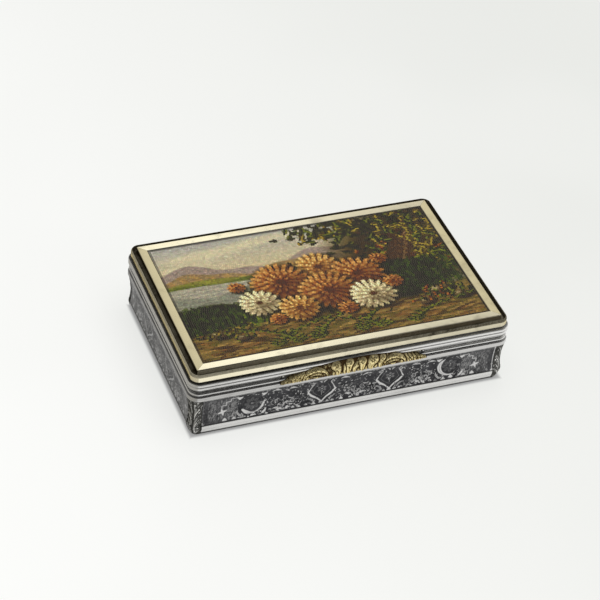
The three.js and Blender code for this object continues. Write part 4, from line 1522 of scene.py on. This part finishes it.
# %% Knuckles and pin
SOFT_END, BORE = 0.07, 0.58
PIN, PIN_TIP, PIN_TAPER, PIN_SHORT = 0.5, 0.38, 0.12, 0.05
knuckle_metal = metal("hinge_silver", SILVER, SILVER_DARK, 0.24, (0.2, 1, 1), wear=1.3)
for body, count in (("base", 4), ("lid", 3)):
    for number in range(1, count + 1):
        node = f"{body}_knuckle_{number}"
        low, high = low_high(node)
        section = [
            (low.x + SOFT_END, KNUCKLE), (high.x - SOFT_END, KNUCKLE),
            (high.x, KNUCKLE - SOFT_END), (high.x, BORE), (low.x, BORE),
            (low.x, KNUCKLE - SOFT_END),
        ]
        tube = turned(section, HINGE, ALONG)
        place_piece(tube, f"tube_{body}_{number}", body, knuckle_metal, [node])

pin_low, pin_high = low_high("hinge_pin")
pin_metal = metal("drawn_wire", (0.6, 0.6, 0.6), (0.1, 0.09, 0.08), 0.3, (0.1, 1, 1))
pin_start, pin_end = pin_low.x + PIN_SHORT, pin_high.x - PIN_SHORT
section = [
    (pin_start, 0), (pin_start, PIN_TIP), (pin_start + PIN_TAPER, PIN),
    (pin_end - PIN_TAPER, PIN), (pin_end, PIN_TIP), (pin_end, 0),
]
pin = turned(section, HINGE, ALONG)
place_piece(pin, "wire_pin", "base", pin_metal, ["hinge_pin"])

# %% [markdown]
# ## Gilt inside
#
# The inside is gilded, because snuff eats into bare silver. A thin lining stands on the
# bottom plate, and its rounded upper edge is the lip that the lid closes over. The bottom
# plate is also the face that the box rests on, and the lid plate is the ceiling of the box.

# %% Lining and plates
gilt = metal("satin_gilding", (0.86, 0.68, 0.34), (0.22, 0.14, 0.05), 0.27, (0.5, 0.5, 1))
lining_low, lining_high = low_high("gilt_lining")
LINING_OUT, LINING_IN, LIP, PLATE_EDGE = -1.28, -1.88, 0.3, 0.08
section = [
    (LINING_IN, lining_low.z), (LINING_OUT, lining_low.z),
    *arc((LINING_IN + LINING_OUT) / 2, lining_high.z - LIP, LIP, 0, 180, 12),
]
place_piece(carry_round(section), "lining_with_lip", "base", gilt, ["gilt_lining"])


def bevelled(bm, edges, width, segments):
    bmesh.ops.bevel(
        bm, geom=edges, offset=width, offset_type="OFFSET", segments=segments, profile=0.5,
        affect="EDGES", material=-1,
    )


def gilt_plate(name, node, body, round_corner):
    """A flat plate with round corners and softened edges."""
    low, high = low_high(node)
    bm = bmesh.new()
    bmesh.ops.create_cube(bm, size=1.0)
    bmesh.ops.scale(bm, vec=high - low, verts=bm.verts)
    bmesh.ops.translate(bm, vec=(low + high) / 2, verts=bm.verts)
    upright = [e for e in bm.edges if abs(e.verts[0].co.z - e.verts[1].co.z) > 0.1]
    bevelled(bm, upright, round_corner, 14)
    bevelled(bm, [e for e in bm.edges if e.calc_face_angle(0) > 1.2], PLATE_EDGE, 3)
    place_piece(bm, name, body, gilt, [node])


gilt_plate("resting_plate", "bottom_plate", "base", CORNER + LINING_OUT)
gilt_plate("ceiling_plate", "lid_plate", "lid", CORNER - 1.21)

# %% [markdown]
# ## The picture
#
# A micromosaic is laid from threads of opaque glass, cut to grains and pressed on end into
# cement, row upon row, then ground flat and waxed. The rows here are long bars of grains.
# Each grain is one face of a grid, and inset_individual draws its edges in, so a dark line of
# cement runs round every grain. The picture itself is a formula that gives each grain its
# colour: a spray of russet and cream blossom with autumn leaves on a mossy bank, a lake and
# hills to the left, and a leaning tree to the right.

# %% A painter's tools
def uneven(number):
    """A small turn, so that no petal lies quite even."""
    return 7 * math.sin(number * 12.9)


class Picture:
    """Colours for many places at once, painted in layers."""

    def __init__(self, x, y, seed=7):
        self.x, self.y = x, y
        self.colour = np.zeros((len(x), 3))
        self.chance = np.random.default_rng(seed)

    def wash(self, share, colour):
        """Lays a colour over the picture by its share at each place."""
        share = np.clip(share, 0, 1)[:, None]
        self.colour += (np.asarray(colour, float) - self.colour) * share

    def below(self, edge, soft=0.5):
        """1 below a line of heights and 0 above it."""
        return np.clip((edge - self.y) / soft + 0.5, 0, 1)

    def oval(self, x, y, wide, tall, angle=0.0, soft=0.25):
        """1 inside a turned oval and 0 outside, with its local frame."""
        c, s = math.cos(math.radians(angle)), math.sin(math.radians(angle))
        along = ((self.x - x) * c + (self.y - y) * s) / wide
        across = (-(self.x - x) * s + (self.y - y) * c) / tall
        far = np.hypot(along, across)
        return np.clip((1 - far) / soft + 0.5, 0, 1), along, across

    def leaf(self, x, y, long, wide, angle, dark, light):
        """A pointed leaf, light on one side of its dark middle rib."""
        share, along, across = self.oval(x, y, long, wide, angle, 0.3)
        share = share * (np.abs(across) < 1.05 - 0.75 * np.clip(along, 0, 1))
        self.wash(share, dark)
        self.wash(share * (across > 0) * 0.85, light)
        self.wash(share * (np.abs(across) < 0.16) * 0.8, [0.6 * c for c in dark])

    def blossom(self, x, y, radius, petals, dark, mid, light, turn=0.0):
        """Rounds of narrow petals, lit from the upper left, round a dark heart."""
        under = self.oval(x + 0.3, y - 0.5, radius * 1.04, radius * 0.94, 0, 0.3)[0]
        self.wash(under * 0.8, SHADOW)
        for ring, (far, long) in enumerate(PETAL_RINGS):
            count = max(round(petals * (far + 0.24)), 5)
            for i in range(count):
                angle = turn + 360 * (i + 0.5 * ring) / count + uneven(i + 7 * ring)
                reach = radius * (far + 0.04 * math.sin(i * 5.3 + ring))
                cx = x + reach * math.cos(math.radians(angle))
                cy = y + reach * math.sin(math.radians(angle)) * 0.9
                wide = 0.92 * math.pi * radius * far / count
                lit = 0.5 + 0.5 * math.cos(math.radians(angle - 125)) + 0.16 * math.sin(i * 7.7)
                share, along, across = self.oval(cx, cy, radius * long, wide, angle, 0.35)
                tone = [d + (m - d) * (0.55 + 0.6 * lit) for d, m in zip(dark, mid)]
                self.wash(share, tone)
                self.wash(share * np.clip(along * 1.5, 0, 1) * (0.25 + 0.6 * lit), light)
                self.wash(share * np.clip(np.abs(across) * 2.2 - 1.35, 0, 1) * 0.8, dark)
                self.wash(share * np.clip(-along * 1.4, 0, 1) * 0.7, dark)
        heart, _, _ = self.oval(x, y, radius * 0.14, radius * 0.12, 0, 0.5)
        self.wash(heart, (0.36, 0.25, 0.09))


SHADOW = (0.13, 0.11, 0.05)
PETAL_RINGS = ((0.76, 0.27), (0.56, 0.25), (0.38, 0.2), (0.21, 0.14))
print("painter's tools ready")

# %% Painting the picture
def swell(x, *waves):
    """A sum of waves of (height, length, start)."""
    return sum(a * np.sin(x / w + p) for a, w, p in waves)


def paint_distance(p):
    """Sky, hills, lake and far bank, open to the left."""
    rise = np.clip((p.y - 5) / 18, 0, 1)[:, None]
    p.colour[:] = (1 - rise) * np.array((0.80, 0.74, 0.66)) + rise * np.array((0.66, 0.66, 0.72))
    for x, y, wide, tall in ((-25, 18, 12, 2.0), (-8, 20.5, 10, 1.6), (-33, 14, 7, 1.2)):
        p.wash(p.oval(x, y, wide, tall, 4, 0.9)[0] * 0.6, (0.83, 0.80, 0.76))
    p.wash(p.below(11.6 + swell(p.x, (2.2, 6.3, 0.4), (0.8, 2.6, 1.0))), (0.60, 0.55, 0.58))
    p.wash(p.below(9.4 + swell(p.x, (1.5, 4.6, 2.0), (0.5, 1.9, 0.0))), (0.57, 0.50, 0.42))
    lit = p.below(9.0 + swell(p.x, (1.3, 4.6, 2.3), (0.5, 1.9, 0.3)))
    p.wash(lit * (np.sin(p.x * 1.7 + p.y) > 0.1) * 0.5, (0.68, 0.56, 0.38))
    p.wash(p.below(7.2 + swell(p.x, (0.7, 5.2, 1.0))), (0.52, 0.52, 0.30))
    p.wash(p.below(6.2 + swell(p.x, (0.5, 3.2, 0.0))) * 0.8, (0.38, 0.42, 0.20))
    p.wash(p.below(5.2 + swell(p.x, (0.4, 7.0, 0.0))), (0.61, 0.60, 0.62))
    ripple = np.sin(p.y * 4.2 + np.sin(p.x * 0.5) * 0.8) > 0.35
    p.wash(ripple * p.below(5.0) * 0.5, (0.74, 0.72, 0.72))
    p.wash(p.below(1.4 + swell(p.x, (0.8, 3.4, 0.6))) * 0.55, (0.44, 0.46, 0.46))


def scatter(p, count, x, y, spread_x, spread_y, tones, size=(0.9, 1.7), wide=0.7, lean=360):
    """Many small leaves round a place. tones lists pairs of dark and light."""
    for _ in range(count):
        spot = (x + p.chance.normal(0, spread_x), y + p.chance.normal(0, spread_y))
        dark, light = tones[p.chance.integers(len(tones))]
        angle = p.chance.uniform(0, 360) if lean == 360 else p.chance.normal(lean, 22)
        p.leaf(*spot, p.chance.uniform(*size), wide, angle, dark, light)


DEEP = ((0.16, 0.17, 0.08), (0.30, 0.31, 0.14))
FERN = ((0.25, 0.28, 0.11), (0.48, 0.50, 0.23))
OLIVE = ((0.38, 0.34, 0.15), (0.64, 0.58, 0.32))
RUST = ((0.40, 0.24, 0.12), (0.66, 0.46, 0.25))
BARK, BARK_LIT = (0.32, 0.25, 0.19), (0.66, 0.57, 0.47)
MOSS = ((0.17, 0.21, 0.09), (0.27, 0.33, 0.13), (0.37, 0.42, 0.17), (0.52, 0.57, 0.24))
EARTH = ((0.61, 0.52, 0.37), (0.29, 0.23, 0.15), (0.50, 0.39, 0.27), (0.38, 0.36, 0.20))
STONES = (
    (-31, -14.5, 3.0), (-26, -17, 2.2), (30, -12, 3.6), (35, -15, 3.0), (25, -15.5, 2.3),
)
STONE_LAYERS = (
    (0.2, -0.2, 1.0, (0.22, 0.18, 0.14)), (-0.2, 0.1, 0.85, (0.40, 0.35, 0.29)),
    (0.35, 0.05, 0.4, (0.33, 0.28, 0.23)), (-0.4, 0.28, 0.36, (0.62, 0.57, 0.50)),
)


def paint_tree(p):
    """A leaning trunk to the right, in front of a dark thicket, under heavy foliage."""
    thicket, _, _ = p.oval(31, 9, 22, 17, 12, 0.5)
    p.wash(thicket, (0.30, 0.26, 0.14))
    scatter(p, 260, 29, 7, 8.5, 7.5, (DEEP, DEEP, FERN, OLIVE, RUST))
    for i in range(60):
        t = i / 59
        x, y = 17 + 14 * t + 2.5 * math.sin(3 * t), -8 + 31 * t
        wide = 5.6 - 3.0 * t
        p.wash(p.oval(x, y, wide, 1.1, 12, 0.3)[0], BARK)
        for lit in (-0.55, -0.2, 0.25):
            grain = wide * (lit + 0.08 * math.sin(i * 1.9 + lit * 9))
            ridge = p.oval(x + grain, y, wide * 0.13, 0.8, 12, 0.6)[0]
            p.wash(ridge * (0.75 - lit * 0.4), BARK_LIT)
    for i in range(40):
        t = i / 39
        branch = p.oval(27 - 21 * t, 12.5 + 6.5 * t ** 0.6, 1.5 - 1.1 * t, 0.9 - 0.5 * t, -15)
        p.wash(branch[0], BARK)
    scatter(p, 190, 26, 19.5, 11, 3.0, (DEEP, DEEP, FERN))
    scatter(p, 70, 10, 19.0, 5.5, 2.0, (DEEP, FERN, OLIVE))
    scatter(p, 60, 33, 14, 4.5, 4.0, (FERN, OLIVE, OLIVE))
    scatter(p, 60, 34, 0.5, 3.2, 3.6, (FERN, OLIVE, FERN), (1.1, 1.9))


def paint_bank(p):
    """The mossy bank, the earth below it, and stones."""
    bank = 0.4 + swell(p.x, (1.6, 9.0, 0.5), (0.6, 2.7, 0.0)) + 0.10 * p.x
    p.wash(p.below(bank, 1.0) * (p.x < 34), (0.17, 0.20, 0.08))
    for _ in range(1900):
        x, drop = p.chance.uniform(-39, 39), p.chance.uniform(0, 13.5)
        y = 0.4 + 0.10 * x + 1.6 * math.sin(x / 9 + 0.5) - drop
        sun = math.exp(-((x + 14) ** 2 + (drop - 8.5) ** 2 * 4) / 160)
        tone = MOSS[min(int(p.chance.random() * (2.2 + 1.8 * sun) + 0.8 * sun), 3)]
        tuft = p.oval(x, y, 0.3, p.chance.uniform(0.6, 1.3), p.chance.normal(0, 24))[0]
        p.wash(tuft * 0.6, tone)
    earth = -12.2 + swell(p.x, (1.5, 7.5, 2.4), (0.6, 2.1, 0.0)) + 0.05 * p.x
    p.wash(p.below(earth, 1.2), (0.49, 0.43, 0.30))
    for _ in range(560):
        x, y = p.chance.uniform(-39, 39), p.chance.uniform(-24, -12.6)
        tone = EARTH[p.chance.integers(4)]
        clod = p.oval(x, y, p.chance.uniform(0.9, 3.2), 0.36, p.chance.normal(4, 9), 0.5)[0]
        p.wash(clod * 0.7, tone)
    for x, y, size in STONES:
        for shift, drop, wide, tone in STONE_LAYERS:
            place = x + shift * size, y + drop * size
            p.wash(p.oval(*place, wide * size, wide * size * 0.5, 6, 0.35)[0] * 0.9, tone)
    scatter(p, 90, 31, -12.5, 5.5, 1.6, (DEEP, FERN, RUST), (0.7, 1.3), 0.35, 80)
    scatter(p, 60, -29, -14.5, 4.5, 1.4, (DEEP, FERN, OLIVE), (0.7, 1.3), 0.35, 80)


def paint_sprigs(p):
    """Green and russet leaves that spread from the spray, and ferns in front."""
    p.wash(p.oval(-1, -3.5, 19, 9.5, 3, 0.35)[0] * 0.85, (0.13, 0.13, 0.06))
    for _ in range(90):
        angle = p.chance.uniform(0, 360)
        far = p.chance.uniform(0.5, 1.0)
        x = -1 + 20.5 * far * math.cos(math.radians(angle))
        y = -3.0 + 10.4 * far * math.sin(math.radians(angle))
        dark, light = (RUST, FERN, DEEP, OLIVE)[p.chance.integers(4)]
        p.leaf(x, y, p.chance.uniform(1.9, 3.3), 1.1, angle + p.chance.normal(0, 25), dark, light)
    for stem, lean in ((-18, 12), (-12.5, -8), (-7, 6), (5, 5), (10.5, -12), (19.5, 14)):
        for i in range(10):
            for side in (-1, 1):
                x = stem + side * (1.4 - 0.1 * i) + lean * 0.02 * i * i
                p.leaf(x, -21.5 + i * 0.85, 1.6 - 0.1 * i, 0.5, 90 - side * 62, *FERN)


RUSSET = ((0.25, 0.15, 0.09), (0.56, 0.37, 0.22), (0.82, 0.68, 0.50))
AMBER = ((0.31, 0.20, 0.11), (0.64, 0.47, 0.29), (0.90, 0.80, 0.63))
CREAM = ((0.34, 0.29, 0.24), (0.72, 0.67, 0.60), (0.97, 0.95, 0.90))
BLOSSOMS = (
    (2.2, 5.6, 6.2, 19, AMBER, 5), (-9.5, 2.0, 7.9, 23, RUSSET, 12),
    (11.4, 0.4, 7.2, 21, RUSSET, 30), (-17.6, -4.8, 5.4, 17, CREAM, 20),
    (1.6, -4.2, 7.8, 23, RUSSET, 0), (12.4, -8.8, 6.2, 19, CREAM, 15),
    (-8.2, -9.2, 5.4, 17, AMBER, 33),
)
SMALL_BLOSSOMS = (
    (-21.5, 2.6, 2.3), (19.4, -5.0, 2.7), (19.0, 5.0, 2.4), (-15.0, -12.2, 2.4), (4.0, -12.4, 2.7),
)


def paint_blossoms(p):
    """Large blossoms from the back to the front, then small ones round them."""
    for x, y, radius, petals, tones, turn in BLOSSOMS:
        p.blossom(x, y, radius, petals, *tones, turn=turn)
    for x, y, radius in SMALL_BLOSSOMS:
        p.blossom(x, y, radius, 11, *RUSSET, turn=x * 9)


PICTURE_HALF = (LENGTH / 2 + FRAME_IN, WIDTH / 2 + FRAME_IN)
WAXED, SCREEN_GAMMA = np.array((0.99, 0.975, 0.80)), 2.2
LAYERS = (paint_distance, paint_tree, paint_bank, paint_sprigs, paint_blossoms)


def paint(x, y):
    """The colour of each grain, with painted frame shadow and some grime along the frame, and
    glass that is never quite even.
    """
    p = Picture(x, y)
    for layer in LAYERS:
        layer(p)
    # Painted shadow of the frame, with some grime: the grains darken along the frame, over a wider
    # band at the back and the right.
    far = np.minimum(PICTURE_HALF[0] - np.abs(x), PICTURE_HALF[1] - np.abs(y))
    shaded = np.minimum(PICTURE_HALF[0] - x, PICTURE_HALF[1] - y) - 0.35
    frame_shadow_and_grime = np.clip((np.minimum(far, shaded) - 0.15) / 0.45, 0.1, 1)[:, None]
    tone = p.colour.mean(axis=1, keepdims=True)
    drift = 1 + (0.17 - 0.17 * tone) * p.chance.standard_normal((len(x), 1))
    drift = drift + 0.02 * p.chance.standard_normal((len(x), 3))
    rich = 0.39 + 1.45 * (p.colour - 0.43)
    return np.clip(rich * WAXED * drift, 0.02, 1) ** SCREEN_GAMMA * frame_shadow_and_grime


print("the picture is a formula of", len(LAYERS), "layers")

# %% Laying the grains
GRAIN_LONG, GRAIN_WIDE, GRAIN_HIGH, CEMENT_LINE = 0.56, 0.42, 0.03, 0.04
CEMENT = (0.16, 0.13, 0.10, 1)


def grain_row(bm, number, rows, low, high):
    """One bar of grains, cut a little off step with the bar before it."""
    width = (high.y - low.y) / rows
    length = high.x - low.x
    count = round(length / GRAIN_LONG)
    made = bmesh.ops.create_grid(bm, x_segments=count, y_segments=1, size=0.5)["verts"]
    off_step = 1.6 * math.sin(number * 2.4) + (0.5 if number % 2 else 0.0)
    for vert in made:
        share = vert.co.x + 0.5
        moved = share + off_step / count * 4 * share * (1 - share)
        row = number + vert.co.y + 0.5
        x = low.x + length * moved
        inner = math.sin(math.pi * row / rows)
        wave = 0.16 * inner * math.sin(x / 6.5 + row * 0.05)
        vert.co = (x, low.y + width * row + wave, high.z - GRAIN_HIGH)
    return list({face for vert in made for face in vert.link_faces})


def make_mosaic():
    """Rows of grains with a back and sides, each grain's colour on its faces."""
    low, high = low_high("mosaic_face")
    rows = round((high.y - low.y) / GRAIN_WIDE)
    bm = bmesh.new()
    tops = [face for number in range(rows) for face in grain_row(bm, number, rows, low, high)]
    back = bmesh.ops.extrude_face_region(bm, geom=tops, use_keep_orig=True)["geom"]
    bmesh.ops.translate(bm, verts=corners_of(back), vec=(0, 0, low.z - high.z + GRAIN_HIGH))
    bmesh.ops.recalc_face_normals(bm, faces=bm.faces)
    tops = [face for face in bm.faces if face.normal.z > 0.9]
    bmesh.ops.inset_individual(bm, faces=tops, thickness=CEMENT_LINE, depth=GRAIN_HIGH)
    centres = np.array([face.calc_center_median()[:2] for face in tops])
    colours = paint(centres[:, 0], centres[:, 1])
    layer = bm.loops.layers.float_color.new("grain")
    for face in bm.faces:
        for loop in face.loops:
            loop[layer] = CEMENT
    for face, colour in zip(tops, colours):
        for loop in face.loops:
            loop[layer] = (*colour, 1)
    print(rows, "rows,", len(tops), "grains")
    return bm


def glass_grains():
    """Waxed glass that takes its colour from the attribute "grain"."""
    material, bench = plain_material("glass_grains")
    spot = bench.where()
    fine, cloud = bench.noise(spot, 5.0, 2.0, 0.6), bench.noise(spot, 0.12, 2.0)
    base = bench.attribute("grain", 0)
    bench.finish({
        "Base Color": bench.mix(fine.between(0.35, 0.75) * 0.18, base, (0.06, 0.05, 0.03)),
        "Roughness": 0.34 + fine * 0.22 + cloud.between(0.4, 0.8) * 0.08,
        "Normal": bench.bump(fine, 0.006), "Specular IOR Level": 0.16,
    })
    return material


place_piece(
    make_mosaic(), "laid_grains", "lid", glass_grains(), ["mosaic_face"], angle=20,
    tidy=False,
)

# %% [markdown]
# ## Bed and tray
#
# Under the grains lie the cement and the copper tray that holds it. Nothing of them shows
# once the frame is on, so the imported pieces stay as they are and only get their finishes.

# %% Finishes for the hidden pieces
def cement_finish():
    """Matt sandy cement."""
    material, bench = plain_material("mosaic_cement_finish")
    sand = bench.noise(bench.where(), 6.0, 4.0, 0.7)
    bench.finish({
        "Base Color": bench.mix(sand.between(0.3, 0.7), (0.45, 0.38, 0.29), (0.68, 0.61, 0.5)),
        "Roughness": 0.95, "Normal": bench.bump(sand, 0.05),
    })
    return material


copper = metal("worked_copper", (0.72, 0.42, 0.27), (0.2, 0.11, 0.06), 0.4, wear=1.5)
for node, finish in (("mosaic_tray", copper), ("mosaic_cement", cement_finish())):
    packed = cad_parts[node]
    packed.data.materials.clear()
    packed.data.materials.append(finish)
print("hidden pieces finished")

# %% [markdown]
# ## Checking the size and closing
#
# The dressed box must stay within the imported one, so how far it reaches past it is printed.

# %% Size and close
low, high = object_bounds()
print("over the packed box by, in mm:", [
    round(PER_METRE * max(a - b, d - c), 3) for a, b, c, d in zip(cad_low, low, cad_high, high)
])
